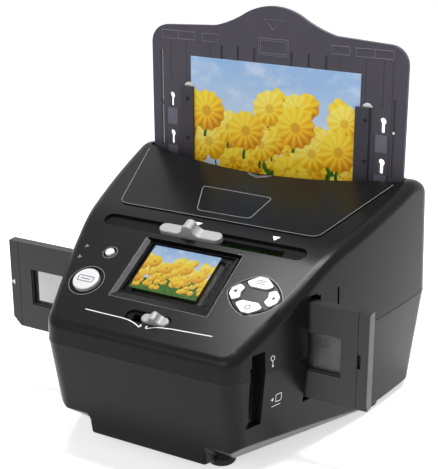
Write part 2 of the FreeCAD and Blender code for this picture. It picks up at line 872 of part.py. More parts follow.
def rectangle(x, y):
    """Outline of a rectangle between two formulas each way."""
    return [(x[0], y[0]), (x[1], y[0]), (x[1], y[1]), (x[0], y[1])]


def span(middle, half):
    """Two ends about a middle."""
    return (f"{middle} - {half}", f"{middle} + {half}")


def both(x):
    """Two ends about the middle plane."""
    return (f"-({x})", f"({x})")


# the outer skin and the hollow of the upper housing

fill_sheet()
FULL = both("(rear_half + overrun)")
outer_cap = cap("outer_cap", "0")
round_edges(outer_cap, "top_round", above("parting_height + base_height"))
cap_hollow = cap("cap_hollow", "wall", "(parting_height - overrun)")
round_edges(cap_hollow, "top_round - wall", above("parting_height + base_height"))
field_cap = cap("field_cap", "(-field_step)")
field_plan = flat_body("field_plan", [
    ("-field_front_half", "field_front"), ("field_front_half", "field_front"),
    ("field_rear_half", "field_rear"), ("-field_rear_half", "field_rear")], "parting_height", "sky + overrun")
field_middle = worth("(field_front + field_rear) / 2")
round_edges(field_plan, "field_corner", lambda edge: upright(edge) and edge.BoundBox.YMax < field_middle)
raised_field = common("raised_field", [field_cap, field_plan])

# what the upper housing carries inside

recess_pad = leaning_box(
    "recess_pad", "panel", both("recess_half + recess_pad_rim"),
    span("recess_v", "(recess_height / 2 + recess_pad_rim)"), ("-recess_pad", "-wall / 2"))
slot_bed = leaning_box(
    "slot_bed", "slot", both("slot_half + slot_bed_rim"), both("slot_width / 2 + slot_bed_rim"),
    ("-slot_bed", "-wall / 2"))
focus_bed = leaning_box(
    "focus_bed", "panel", both("focus_slot_half + slot_bed_rim"),
    span("focus_v", "(focus_slot_width / 2 + slot_bed_rim)"), ("-recess_pad", "-wall / 2"))
cap_posts = []
for name in ("front", "rear"):
    post = rod(f"cap_post_{name}", "post_radius", (f"{name}_post_x", f"{name}_post_y", "post_seat"), "sky")
    cap_posts += [post, mirrored(post)]
board_posts = [
    leaning_rod(f"board_post_{name}", "panel", "board_post_radius", u, v,
                "-key_board_depth + seat_gap", "key_board_depth - seat_gap - wall / 2")
    for name, u, v in (
        ("left", "-key_board_low_half", "(scan_v + power_v) / 2 + seat_gap"),
        ("middle_left", "-window_post_u", "key_board_low + key_board_strip / 2"),
        ("middle_right", "window_post_u", "key_board_low + key_board_strip / 2"),
        ("right", "ring_u", "key_board_low + key_board_strip / 2"))]
recess_box = box(
    "recess_box", ("recess_floor - recess_wall", "rear_half"),
    ("recess_front - recess_wall", "recess_rear + recess_wall"),
    ("recess_bottom - recess_wall", "recess_top + recess_wall"))
cap_inside = common("cap_inside", [outer_cap, fuse("cap_parts", [
    recess_pad, slot_bed, focus_bed, recess_box, *cap_posts, *board_posts])])
cap_shell = cut("cap_shell", fuse("cap_skin", [outer_cap, raised_field]), [cap_hollow])
post_ends = []
for name in ("front", "rear"):
    end = rod(f"post_end_{name}", "post_radius", (f"{name}_post_x", f"{name}_post_y", "post_seat"),
              "post_web + wall")
    post_ends += [end, mirrored(end)]
cap_solid = fuse("cap_solid", [cap_shell, cap_inside, *post_ends])

# openings in the upper housing

port_recess = box("port_recess", ("recess_floor", "rear_half"), ("recess_front", "recess_rear"),
                  ("recess_bottom", "recess_top"))
usb_window = box(
    "usb_window", ("recess_floor - recess_wall - overrun", "recess_floor + overrun"),
    ("socket_y - usb_thickness - socket_gap", "socket_y + socket_gap"),
    span("usb_height", "(usb_width / 2 + socket_gap)"))
card_window = box(
    "card_window", ("recess_floor - recess_wall - overrun", "recess_floor + overrun"),
    ("socket_y - card_thickness - socket_gap", "socket_y + socket_gap"),
    span("card_height", "(card_width / 2 + socket_gap)"))
passage = box("passage", FULL, ("passage_front", "passage_rear"), ("passage_bottom", "passage_top"))
passage_notch = box("passage_notch", FULL, ("holder_front", "holder_rear"),
                    ("holder_top", "passage_top + passage_head"))
side_slit = box(
    "side_slit", ("slot_half", "rear_half"), span("side_slit_y", "side_slit_width / 2"),
    ("parting_height", "passage_top"))
openings = [port_recess, usb_window, card_window, passage, passage_notch]
mouth = flat_body("mouth", [
    ("-mouth_half", "mouth_rear"), ("-mouth_half", "mouth_side_lip"), ("via", "0", "mouth_mid_lip"),
    ("mouth_half", "mouth_side_lip"), ("mouth_half", "mouth_rear")], "channel_top", "sky + overrun")
slot_sketch = draw(body("slot_path"), "XY_Plane", stadium("slot_half", "slot_width"))
slot_pocket = lean(prism(slot_sketch, "-slot_depth", "overrun"), "slot", "0", "0", "0")
slot_through = box(
    "slot_through",
    ("knob_offset - mode_stem_half - stem_gap", "knob_offset + mode_travel + mode_stem_half + stem_gap"),
    span("slot_y", "(stem_thickness / 2 + stem_gap)"), ("carriage_top", "sky"))
focus_sketch = draw(body("focus_path"), "XY_Plane", stadium("focus_slot_half", "focus_slot_width"))
focus_pocket = lean(prism(focus_sketch, "-focus_slot_depth", "overrun"), "panel", "0", "focus_v", "0")
focus_through = leaning_box(
    "focus_through", "panel",
    ("focus_rest - focus_travel - focus_stem_half - stem_gap", "focus_rest + focus_stem_half + stem_gap"),
    span("focus_v", "(stem_thickness / 2 + stem_gap)"), ("-focus_arm_depth", "overrun"))
recess_dip = doc.addObject("Part::Wedge", "recess_dip")
bind(recess_dip, Xmin="-bezel_half - slider_gap", Xmax="bezel_half + slider_gap",
     X2min="-recess_half", X2max="recess_half", Ymin="-recess_depth", Ymax="0",
     Zmin="-bezel_v - bezel_height / 2 - slider_gap", Zmax="-bezel_v + bezel_height / 2 + slider_gap",
     Z2min="-recess_v - recess_height / 2", Z2max="-recess_v + recess_height / 2")
lean(recess_dip, "panel", "0", "0", "0")
bind(recess_dip, Placement__Rotation__Angle="atan(panel_slope_share) + 90 deg")
recess_hole = leaning_box(
    "recess_hole", "panel", both("bezel_half + slider_gap"),
    span("bezel_v", "(bezel_height / 2 + slider_gap)"),
    ("-recess_pad - overrun", "-recess_depth / 2"))
dishes = []
for name in ("scan", "power"):
    dishes.append(leaning_rod(
        f"{name}_dish", "panel", f"{name}_dish_radius", f"{name}_u", f"{name}_v", "-dish_depth", "overrun"))
    dishes.append(leaning_rod(
        f"{name}_hole", "panel", f"{name}_radius + button_gap", f"{name}_u", f"{name}_v", "-overrun",
        "overrun * 2"))

# key ring and the four keys, drawn flat about the middle of the ring

bulge = "ring_half * ring_bulge_share"
lift = "ring_rise * ring_bulge_share"
ring_plan = draw(body("ring_plan"), "XY_Plane", [
    ("ring_half", "0"), ("via", bulge, lift), ("0", "ring_rise"), ("via", f"-{bulge}", lift),
    ("-ring_half", "0"), ("via", f"-{bulge}", f"-{lift}"), ("0", "-ring_rise"), ("via", bulge, f"-{lift}")])
ring_groove = cut("ring_cut", prism(offset(ring_plan, "ring_groove"), "-ring_groove_depth", "overrun"), [
    prism(ring_plan, "-overrun", "overrun * 2")])
lean(ring_groove, "panel", "ring_u", "ring_v", "0")
KEYS = {
    "upper_key": (UPPER_KEY_SHARES, 1, 1),
    "right_key": (SIDE_KEY_SHARES, 1, 1),
    "lower_key": (UPPER_KEY_SHARES, 1, -1),
    "left_key": (SIDE_KEY_SHARES, -1, 1),
}
key_holes = []
key_pieces = {}
for name, (shares, side, way) in KEYS.items():
    plan_path = [(f"{side * u} * ring_half", f"{way * v} * ring_rise") for u, v in shares]
    key = body(name + "_body")
    outline = draw(key, "XY_Plane", plan_path, "flange_under")
    pad(key, outline, "key_height - flange_under")
    round_edges(key, "key_round", upright)
    loose = draw(body(name + "_path"), "XY_Plane", plan_path)
    flange = prism(offset(loose, "button_flange * 0.8"), "flange_under", "cap_under")
    key_pieces[name] = lean(fuse(name + "_joined", [key, flange]), "panel", "ring_u", "ring_v", "0")
    hole = prism(offset(loose, "button_gap"), "-overrun", "overrun")
    key_holes.append(lean(hole, "panel", "ring_u", "ring_v", "0"))
lens_holes = []
lens_pieces = []
for name in ("upper", "lower"):
    light = doc.addObject("Part::Prism", f"{name}_light")
    light.Polygon = 3
    bind(light, Circumradius="lens_radius", Height="wall + seat_gap * 2")
    lean(light, "panel", "lens_u", f"lens_{name}_v", "-wall - seat_gap")
    base = leaning_rod(
        f"{name}_light_base", "panel", "lens_radius + button_flange", "lens_u", f"lens_{name}_v",
        "-wall - seat_gap - button_flange_plate", "button_flange_plate")
    lens_pieces.append(fuse(f"{name}_lens", [light, base]))
    hole = doc.addObject("Part::Prism", f"{name}_light_hole")
    hole.Polygon = 3
    bind(hole, Circumradius="lens_radius + slider_gap", Height="overrun * 2")
    lens_holes.append(lean(hole, "panel", "lens_u", f"lens_{name}_v", "-overrun"))
screw_holes = []
for name in ("front", "rear"):
    hole = rod(f"screw_hole_{name}", "screw_radius + screw_gap", (f"{name}_post_x", f"{name}_post_y", "0"),
               "base_height + screw_head + screw_length + post_seat")
    screw_holes += [hole, mirrored(hole)]
upper_housing = cut("upper_cut", cap_solid, [
    *openings, side_slit, mirrored(side_slit), mouth, slot_pocket, slot_through, focus_pocket, focus_through,
    recess_dip, recess_hole, *dishes, ring_groove, *key_holes, *lens_holes, *screw_holes])
node("upper_housing", upper_housing)



# lower housing

shell_form = lower_form("shell_form", "0")
round_edges(shell_form, "base_round", below("parting_height - overrun"))
shell_hollow = lower_form("shell_hollow", "wall")
shell_uncut = tapered(
    "shell_uncut", "0", ("base_side_set", "base_front_set", "base_rear_set", "base_height"),
    ("0", "0", "0", "parting_height"))
foot_bosses = []
for name in ("front", "rear"):
    boss = rod(f"foot_boss_{name}", "foot_boss_radius", (f"{name}_foot_x", f"{name}_foot_y", "base_height"),
               "foot_boss_radius")
    foot_bosses += [boss, mirrored(boss)]
shell_posts = []
for name in ("front", "rear"):
    post = rod(f"shell_post_{name}", "post_radius", (f"{name}_post_x", f"{name}_post_y", "base_height"),
               "post_seat - seat_gap - base_height")
    shell_posts += [post, mirrored(post)]
board_ribs = [
    box(f"board_rib_{name}", span(x, "board_rib / 2"),
        ("main_board_y - seat_gap - board_rib", "main_board_y + board_plate + seat_gap + board_rib"),
        ("base_height", "main_board_bottom + board_rib"))
    for name, x in (("left", "-main_board_left + board_rib * 2"), ("right", "main_board_right / 2"))]
board_slots = box(
    "board_slots", ("-main_board_left - overrun", "main_board_right"),
    ("main_board_y - seat_gap", "main_board_y + board_plate + seat_gap"),
    ("main_board_bottom - seat_gap", "main_board_top"))
shell_inside = common("shell_inside", [shell_uncut,
    fuse("shell_parts", [recess_box, *shell_posts, *board_ribs])])
shell_solid = fuse("shell_solid", [
    cut("shell_shell", shell_form, [shell_hollow]), common("shell_trimmed", [shell_inside, shell_form]),
    cut("boss_shells", common("boss_forms", [shell_uncut, fuse("boss_rods", foot_bosses)]), [shell_hollow])])
stud_holes = []
head_holes = []
for name in ("front", "rear"):
    hole = rod(f"stud_hole_{name}", "foot_stud_radius + rod_gap", (f"{name}_foot_x", f"{name}_foot_y", "0"),
               "foot_boss_radius * 2")
    head = rod(f"head_hole_{name}", "screw_head_radius + seat_gap", (f"{name}_post_x", f"{name}_post_y", "0"),
               "base_height + screw_head + seat_gap")
    stud_holes += [hole, mirrored(hole)]
    head_holes += [head, mirrored(head)]
lower_housing = cut("lower_cut", shell_solid, [
    *openings, *stud_holes, *screw_holes, *head_holes, board_slots])
node("lower_housing", lower_housing)

# feet and screws

feet = []
for name in ("front", "rear"):
    pad_body = flat_body(f"foot_{name}_pad", [
        ("foot_radius", "0"), ("via", "0", "foot_radius"), ("-foot_radius", "0"),
        ("via", "0", "-foot_radius")],
        "0", "base_height")
    round_edges(pad_body, "foot_round", below("wall"))
    stud = rod(f"foot_{name}_stud", "foot_stud_radius", ("0", "0", "base_height"), "foot_stud_length")
    foot = fuse(f"foot_{name}", [pad_body, stud])
    bind(foot, Placement__Base__x=f"{name}_foot_x", Placement__Base__y=f"{name}_foot_y")
    feet += [foot, mirrored(foot)]
node("rubber_feet", feet)
screws = []
for name in ("front", "rear"):
    place = (f"{name}_post_x", f"{name}_post_y")
    head = rod(f"screw_{name}_head", "screw_head_radius", (*place, "base_height + seat_gap"), "screw_head")
    shank = rod(f"screw_{name}_shank", "screw_radius", (*place, "base_height + seat_gap"), "screw_length")
    screw = fuse(f"screw_{name}", [head, shank])
    screws += [screw, mirrored(screw)]
node("case_screws", screws)


# display

bezel_block = leaning_box(
    "bezel_block", "panel", both("bezel_half"), span("bezel_v", "bezel_height / 2"),
    ("bezel_under", "bezel_top"))
bezel_flange = leaning_box(
    "bezel_flange", "panel", both("bezel_half + bezel_flange"),
    span("bezel_v", "(bezel_height / 2 + bezel_flange)"),
    ("bezel_under", "-recess_pad - seat_gap"))
glass_rebate = leaning_box(
    "glass_rebate", "panel", both("bezel_half - bezel_rim"),
    span("bezel_v", "(bezel_height / 2 - bezel_rim)"),
    ("bezel_top - window_plate - seat_gap", "overrun"))
view = leaning_box(
    "view", "panel", both("picture_half + seat_gap"), span("picture_v", "(picture_height / 2 + seat_gap)"),
    ("-overrun * 2", "overrun"))
node("display_bezel", cut("bezel_cut", fuse("bezel_solid", [bezel_block, bezel_flange]),
    [glass_rebate, view]))
node("display_window", leaning_box(
    "window_plate_body", "panel", both("bezel_half - bezel_rim - seat_gap"),
    span("bezel_v", "(bezel_height / 2 - bezel_rim - seat_gap)"), ("bezel_top - window_plate", "bezel_top")))
node("display_module", leaning_box(
    "module_body", "panel", both("module_half"), span("picture_v", "module_height / 2"),
    ("module_top - module_plate", "module_top")))
node("status_lenses", lens_pieces)

# buttons, keys and the board under them

switches = [
    ("scan", "scan_u", "scan_v"), ("power", "power_u", "power_v"),
    ("upper", "ring_u", "ring_v + ring_rise * key_reach_share"),
    ("lower", "ring_u", "ring_v - ring_rise * key_reach_share"),
    ("right", "ring_u + ring_half * side_reach_share", "ring_v"),
    ("left", "ring_u - ring_half * side_reach_share", "ring_v")]
key_board = flat_body("key_board_plate", [
    ("-key_board_low_half", "key_board_low"), ("key_board_low_half", "key_board_low"),
    ("key_board_high_half", "key_board_high"), ("key_board_right", "key_board_high"),
    ("key_board_right", "key_board_low + key_board_strip"),
    ("-key_board_left", "key_board_low + key_board_strip"),
    ("-key_board_left", "key_board_high"), ("-key_board_high_half", "key_board_high")],
    "-key_board_depth - board_plate", "-key_board_depth")
board_parts = [lean(key_board, "panel", "0", "0", "0")]
for name, u, v in switches:
    board_parts.append(leaning_box(
        f"switch_{name}", "panel", span(u, "switch_side / 2"), span(v, "switch_side / 2"),
        ("-key_board_depth", "switch_top")))
    board_parts.append(leaning_rod(
        f"plunger_{name}", "panel", "switch_plunger_radius", u, v, "-key_board_depth",
        "plunger_top + key_board_depth"))
node("key_board", fuse("key_board_joined", board_parts))
for name in ("scan", "power"):
    disc = doc.addObject("PartDesign::Body", f"{name}_disc")
    outline = draw(disc, "XY_Plane", [
        (f"{name}_radius", "0"), ("via", "0", f"{name}_radius"), (f"-{name}_radius", "0"),
        ("via", "0", f"-{name}_radius")], "flange_under")
    pad(disc, outline, f"{name}_crown - flange_under")
    round_edges(disc, "button_round", above("0"))
    lean(disc, "panel", f"{name}_u", f"{name}_v", "0")
    flange = leaning_rod(
        f"{name}_flange", "panel", f"{name}_radius + button_flange", f"{name}_u", f"{name}_v", "flange_under",
        "button_flange_plate")
    node(f"{name}_button", fuse(f"{name}_joined", [disc, flange]))
for name, piece in key_pieces.items():
    node(name, piece)

# sliders and what they carry


def slider_knob(name, frame, middle, at):
    """Long low knob that fills its slot, with a peg that flares out into two wings."""
    base = flat_body(f"{name}_wings", stadium(f"{name}_knob_half", f"{name}_knob_width"), f"{name}_seat",
                     f"{name}_knob_base")
    round_edges(base, "fin_round", above(f"{name}_knob_base / 2"))
    flare = f"({name}_fin_foot - {name}_fin_top)"
    waist = f"{name}_fin_top + {flare} * fin_waist_share"
    rise = f"{name}_knob_base + ({name}_fin_height - {name}_knob_base) * fin_waist_height_share"
    shoulder = f"{name}_fin_height * fin_shoulder_share"
    peg = flat_body(f"{name}_peg", [
        (f"-{name}_fin_foot", "0"), (f"{name}_fin_foot", "0"), (f"{name}_fin_foot", f"{name}_knob_base"),
        ("via", waist, rise), (f"{name}_fin_top", shoulder), ("via", "0", f"{name}_fin_height"),
        (f"-{name}_fin_top", shoulder), ("via", f"-({waist})", rise),
        (f"-{name}_fin_foot", f"{name}_knob_base")],
        f"-{name}_knob_width / 2", f"{name}_knob_width / 2", "XZ_Plane")
    high = above(f"{name}_knob_base")
    round_edges(peg, "fin_round", lambda edge: high(edge) and not along_y(edge))
    return lean(fuse(f"{name}_knob_top", [base, peg]), frame, middle, at, "0")


mode_top = slider_knob("mode", "slot", "knob_offset", "0")
mode_stem = box("mode_stem", span("knob_offset", "mode_stem_half"), span("slot_y", "stem_thickness / 2"),
                ("carriage_top", "slot_z"))
node("mode_knob", fuse("mode_joined", [mode_top, mode_stem]))
focus_top = slider_knob("focus", "panel", "focus_rest", "focus_v")
focus_stem = leaning_box(
    "focus_stem", "panel", span("focus_rest", "focus_stem_half"), span("focus_v", "stem_thickness / 2"),
    ("-focus_arm_depth", "0"))
node("focus_knob", fuse("focus_joined", [focus_top, focus_stem]))
arm_depths = ("-focus_arm_depth - focus_arm_plate", "-focus_arm_depth")
lever_arm = leaning_box(
    "lever_arm", "panel", span("focus_rest", "focus_arm_half"), ("focus_arm_low", "focus_head_high"),
    arm_depths)
lever_head = leaning_box(
    "lever_head", "panel", span("focus_rest", "focus_head_half"), ("focus_head_low", "focus_head_high"),
    arm_depths)
pin_way = "(lens_pin_radius + lens_pin_gap) / lens_stretch_share"
pin_slip = f"{pin_way} * lens_ratio_share"
lever_slot = flat_body("lever_slot", [
    (f"{pin_slip}", f"lens_pin_y + {pin_way}"), ("via", f"-{pin_way}", f"lens_pin_y + {pin_slip}"),
    (f"-{pin_slip}", f"lens_pin_y - {pin_way}"),
    (f"focus_travel - {pin_slip}", f"lens_pin_y - lens_travel - {pin_way}"),
    ("via", f"focus_travel + {pin_way}", f"lens_pin_y - lens_travel - {pin_slip}"),
    (f"focus_travel + {pin_slip}", f"lens_pin_y - lens_travel + {pin_way}")], "axis_height", "sky")
node("focus_lever", cut("lever_cut", fuse("lever_solid", [lever_arm, lever_head]), [lever_slot]))
barrel = rod("barrel", "barrel_radius", ("0", "barrel_rear - barrel_length", "axis_height"), "barrel_length",
    ACROSS)
barrel_eye = rod("barrel_eye", "barrel_glass_radius",
    ("0", "barrel_rear - barrel_glass_depth", "axis_height"),
                 "barrel_glass_depth + overrun", ACROSS)
lens_pin = rod("lens_pin", "lens_pin_radius", ("0", "lens_pin_y", "axis_height + barrel_radius / 2"),
               "lens_pin_top - axis_height - barrel_radius / 2")
node("lens_barrel", cut("barrel_cut", fuse("barrel_solid", [barrel, lens_pin]), [barrel_eye]))

# camera

bracket_block = box("bracket_block", both("bracket_half"), ("bracket_front", "bracket_rear"),
                    ("floor_height + seat_gap", "axis_height + barrel_radius + bracket_rim"))
bracket_foot = box("bracket_foot", both("bracket_half"), ("bracket_foot", "lens_pin_y"),
                   ("floor_height + seat_gap", "floor_height + seat_gap + bracket_base"))
cheek = box("cheek", ("bracket_half - bracket_rim", "bracket_half"), ("bracket_foot", "bracket_front"),
            ("camera_board_bottom", "camera_board_top"))
bore = rod("bore", "barrel_radius + barrel_gap", ("0", "bracket_foot - overrun", "axis_height"),
    "body_depth / 2",
           ACROSS)
bracket_window = box(
    "bracket_window", both("bracket_half - bracket_rim"),
    ("bracket_front - overrun", "bracket_rear + overrun"),
    ("floor_height + seat_gap + bracket_base", "camera_board_bottom"))
node("lens_bracket", cut("bracket_cut", fuse("bracket_solid", [
    bracket_block, bracket_foot, cheek, mirrored(cheek)]), [bore, bracket_window]))
node("camera_board", fuse("camera_joined", [
    box("camera_plate", both("bracket_half"),
        ("bracket_foot - seat_gap - board_plate", "bracket_foot - seat_gap"),
        ("camera_board_bottom", "camera_board_top")),
    box("sensor", both("sensor_side / 2"),
        ("bracket_foot - seat_gap", "bracket_foot - seat_gap + sensor_plate"),
        span("axis_height", "sensor_side / 2"))]))

# main board and its sockets

main_plate = flat_body("main_plate", [
    ("-main_board_left", "main_board_bottom"), ("main_board_right", "main_board_bottom"),
    ("main_board_right", "main_board_top"), ("main_board_notch_half", "main_board_top"),
    ("main_board_notch_half", "main_board_top - main_board_notch_drop"),
    ("-main_board_notch_half", "main_board_top - main_board_notch_drop"),
    ("-main_board_notch_half", "main_board_top"), ("-main_board_left", "main_board_top")],
    "-main_board_y - board_plate", "-main_board_y", "XZ_Plane")
chips = [
    box(f"chip_{name}", span(x, "chip_side / 2"), ("main_board_y - chip_plate", "main_board_y"),
        span("axis_height - chip_side", "chip_side / 2"))
    for name, x in (("left", "-main_board_notch_half"), ("middle", "0"))]
node("main_board", fuse("main_board_joined", [main_plate, *chips]))
card_shell = box("card_shell", ("recess_floor - card_length", "recess_floor"),
                 ("socket_y - card_thickness", "socket_y"), span("card_height", "card_width / 2"))
card_way = box("card_way", ("recess_floor - card_length + recess_wall", "recess_floor + overrun"),
               span("socket_y - card_thickness / 2", "card_slot / 2"),
               span("card_height", "(card_width / 2 - socket_web)"))
node("card_socket", cut("card_cut", card_shell, [card_way]))
usb_block = box("usb_block", ("recess_floor - usb_length", "recess_floor"),
                ("socket_y - usb_thickness", "socket_y"), span("usb_height", "usb_width / 2"))
usb_way = box("usb_way", ("recess_floor - usb_length + socket_web", "recess_floor + overrun"),
              span("socket_y - usb_thickness / 2", "(usb_thickness / 2 - usb_shell)"),
              span("usb_height", "(usb_width / 2 - usb_shell)"))
usb_tongue = box("usb_tongue", ("recess_floor - usb_length", "recess_floor - socket_web"),
                 span("socket_y - usb_thickness / 2", "usb_shell"), span("usb_height", "usb_width / 4"))
node("usb_socket", fuse("usb_joined", [cut("usb_cut", usb_block, [usb_way]), usb_tongue]))

# film gate, its spring and the rods of the back light

gate_walls = [
    box("gate_front_wall", both("gate_half"), ("gate_front", "gate_front + gate_plate"),
        ("floor_height + seat_gap", "gate_front_top")),
    box("gate_rear_wall", ("-gate_half", "rod_right + lug_thickness"),
        ("gate_rear - gate_plate", "gate_rear"),
        ("gate_bottom", "gate_top")),
    box("gate_rear_foot", both("gate_half"), ("gate_rear - gate_plate", "gate_rear"),
        ("floor_height + seat_gap", "gate_bottom")),
    box("gate_sill", both("gate_half"), ("gate_front", "gate_rear"),
        ("gate_bottom", "holder_bottom - holder_gap")),
    box("gate_lintel", both("gate_half"), ("gate_lintel_front", "gate_rear"),
        ("holder_top + holder_gap", "gate_top"))]
for name, height in (("low", "rod_low"), ("high", "rod_high")):
    for side, x in (("left", "-rod_left - lug_thickness"), ("right", "rod_right")):
        across = (x, f"{x} + lug_thickness")
        gate_walls.append(box(f"lug_{name}_{side}", across, ("gate_rear - gate_plate", "slot_y"),
                              span(height, "lug_radius")))
        gate_walls.append(rod(f"lug_{name}_{side}_end", "lug_radius", (x, "slot_y", height), "lug_thickness",
            SIDEWAYS))
gate_window = box("gate_window", both("gate_window_half"), ("gate_front - overrun", "gate_rear + overrun"),
                  span("axis_height", "gate_window_height / 2"))
leg_gap = box("leg_gap", both("gate_half - gate_leg"), ("gate_front - overrun", "gate_rear + overrun"),
              ("base_height", "gate_bottom"))
spring_window = box("spring_window", both("spring_half + seat_gap"),
                    span("cover_rear", "(spring_width / 2 + seat_gap)"), ("holder_top", "sky"))
rod_holes = [
    rod(f"rod_hole_{name}", "rod_radius + rod_fit_gap",
        ("-rod_left - lug_thickness - overrun", "slot_y", height),
        "body_depth", SIDEWAYS)
    for name, height in (("low", "rod_low"), ("high", "rod_high"))]
node("film_gate", cut("gate_cut", fuse("gate_solid", gate_walls),
    [gate_window, leg_gap, spring_window, *rod_holes]))
spring_body = flat_body("spring_leaf", [
    ("-spring_half - spring_ends", "gate_top"), ("-spring_half", "gate_top"),
    ("via", "0", "holder_top + seat_gap"), ("spring_half", "gate_top"),
    ("spring_half + spring_ends", "gate_top"),
    ("spring_half + spring_ends", "gate_top + spring_plate"), ("spring_half", "gate_top + spring_plate"),
    ("via", "0", "holder_top + seat_gap + spring_plate"), ("-spring_half", "gate_top + spring_plate"),
    ("-spring_half - spring_ends", "gate_top + spring_plate")],
    "-cover_rear - spring_width / 2", "-cover_rear + spring_width / 2", "XZ_Plane")
node("gate_spring", spring_body)
node("carriage_rods", [
    rod(f"rod_{name}", "rod_radius", ("-rod_left - lug_thickness", "slot_y", height),
        "rod_left + rod_right + lug_thickness * 2", SIDEWAYS)
    for name, height in (("low", "rod_low"), ("high", "rod_high"))])

# back light

carriage_block = box("carriage_block", both("carriage_half"), ("carriage_front", "carriage_rear"),
                     ("carriage_bottom", "carriage_top"))
light_way = box("light_way", both("diffuser_half - diffuser_ledge"),
                ("carriage_front - overrun", "carriage_rear + overrun"),
                span("axis_height", "(diffuser_height / 2 - diffuser_ledge)"))
rebates = [
    box(f"rebate_{name}", both("diffuser_half + seat_gap"), y,
        span("axis_height", "(diffuser_height / 2 + seat_gap)"))
    for name, y in (
        ("front", ("carriage_front - overrun", "carriage_front + diffuser_plate + seat_gap * 2")),
        ("rear", ("carriage_rear - board_plate - seat_gap * 2", "carriage_rear + overrun")))]
slide_holes = [
    rod(f"slide_hole_{name}", "rod_radius + rod_gap", ("-carriage_half - overrun", "slot_y", height),
        "body_depth", SIDEWAYS)
    for name, height in (("low", "rod_low"), ("high", "rod_high"))]
node("backlight_carriage", cut("carriage_cut", carriage_block, [light_way, *rebates, *slide_holes]))
node("backlight_diffuser", box(
    "diffuser", both("diffuser_half"), ("carriage_front + seat_gap",
        "carriage_front + seat_gap + diffuser_plate"),
    span("axis_height", "diffuser_height / 2")))
light_plate_face = "carriage_rear - seat_gap - board_plate"
node("backlight_board", fuse("backlight_joined", [
    box("backlight_plate", both("diffuser_half"), (light_plate_face, "carriage_rear - seat_gap"),
        span("axis_height", "diffuser_height / 2")),
    *[box(f"backlight_lamp_{column}", span(f"frame_pitch * {column} / 4", "light_emitter / 2"),
          (f"{light_plate_face} - light_emitter_proud", light_plate_face),
          span("axis_height", "light_emitter / 2"))
      for column in (-1, 0, 1)]]))

# photo tray with its guides and the print on it

corner_in = "tray_corner * quarter_share"
tray_path = [
    ("-tray_half", "tray_bottom"), ("tray_half", "tray_bottom"), ("tray_half", "tray_shoulder - tray_corner"),
    ("via", f"tray_half - {corner_in}", f"tray_shoulder - {corner_in}"),
    ("tray_half - tray_corner", "tray_shoulder"), ("tray_grip_half", "tray_crown"),
    ("via", "tray_grip_dip", "tray_grip_dip_z"), ("tray_grip_turn", "tray_grip_turn_z"),
    ("via", "0", "tray_grip_top"), ("-tray_grip_turn", "tray_grip_turn_z"),
    ("via", "-tray_grip_dip", "tray_grip_dip_z"), ("-tray_grip_half", "tray_crown"),
    ("-tray_half + tray_corner", "tray_shoulder"),
    ("via", f"-tray_half + {corner_in}", f"tray_shoulder - {corner_in}"),
    ("-tray_half", "tray_shoulder - tray_corner")]
tray_plate = flat_body("tray_plate", tray_path, "-tray_rear", "-tray_front", "XZ_Plane")
through = ("tray_front - overrun", "tray_rear + overrun")
shallow = ("tray_front - overrun", "tray_front + tray_groove")
slit_x = span("-tray_slit", "tray_slit_width / 2")
tray_cuts = [
    box("slit_high", slit_x, through, ("tray_slit_bridge + tray_slit_bridge_height / 2", "tray_slit_top")),
    box("slit_low", slit_x, through, ("tray_slit_bottom", "tray_slit_bridge - tray_slit_bridge_height / 2")),
    box("side_groove", span("tray_slit", "tray_slit_width / 2"), shallow,
        ("tray_slit_bottom", "tray_groove_top"))]
for side in (-1, 1):
    for count in (0, 1, 2):
        bar = f"{side} * (gauge_first + gauge_pitch * {count})"
        tray_cuts.append(box(f"gauge_{side}_{count}", span(bar, "gauge_width / 2"), shallow,
            ("print_top", "gauge_top")))
    for level in ("high", "low"):
        x = f"{side} * keyhole"
        tray_cuts.append(rod(
            f"keyhole_{side}_{level}", "keyhole_radius", (x, "tray_front - overrun", f"keyhole_{level}"),
            "tray_plate + overrun * 2", ACROSS))
        tray_cuts.append(box(
            f"keyslot_{side}_{level}", span(x, "keyhole_slot_radius"), through,
            (f"keyhole_{level} - keyhole_radius - keyhole_drop", f"keyhole_{level}")))
node("photo_tray", cut("tray_cut", tray_plate, tray_cuts))
guide_face = "tray_front - guide_plate"
guide_solid = fuse("guide_solid", [
    box("guide_strip", ("print_width / 2 + guide_lap", "guide_outer"), (guide_face, "tray_front"),
        ("guide_bottom", "guide_top")),
    box("guide_lip", ("guide_inner", "guide_outer"), (guide_face, "tray_front - print_plate - guide_lap"),
        ("guide_bottom", "guide_top"))])
guide_bevel = box("guide_bevel", ("-guide_cut * 2", "0"), ("tray_front - overrun", "tray_rear"),
    ("0", "guide_cut * 2"))
guide_bevel.Placement.Rotation = FreeCAD.Rotation(ACROSS, -30)
bind(guide_bevel, Placement__Base__x="guide_inner + guide_cut", Placement__Base__z="guide_top")
guide_pins = [
    rod(f"guide_pin_{level}", "guide_pin_head", ("guide_pin", "tray_front - guide_plate - guide_pin_proud",
        f"keyhole_{level}"), "guide_plate", ACROSS)
    for level in ("high", "low")]
guide = fuse("guide_joined", [cut("guide_trimmed", guide_solid, [guide_bevel]), *guide_pins])
node("photo_guides", [guide, mirrored(guide)])
node("photo_print", box("print", both("print_width / 2"), ("tray_front - print_plate", "tray_front"),
                        ("print_top - print_height", "print_top")))

# channels of the tray and the lights for prints

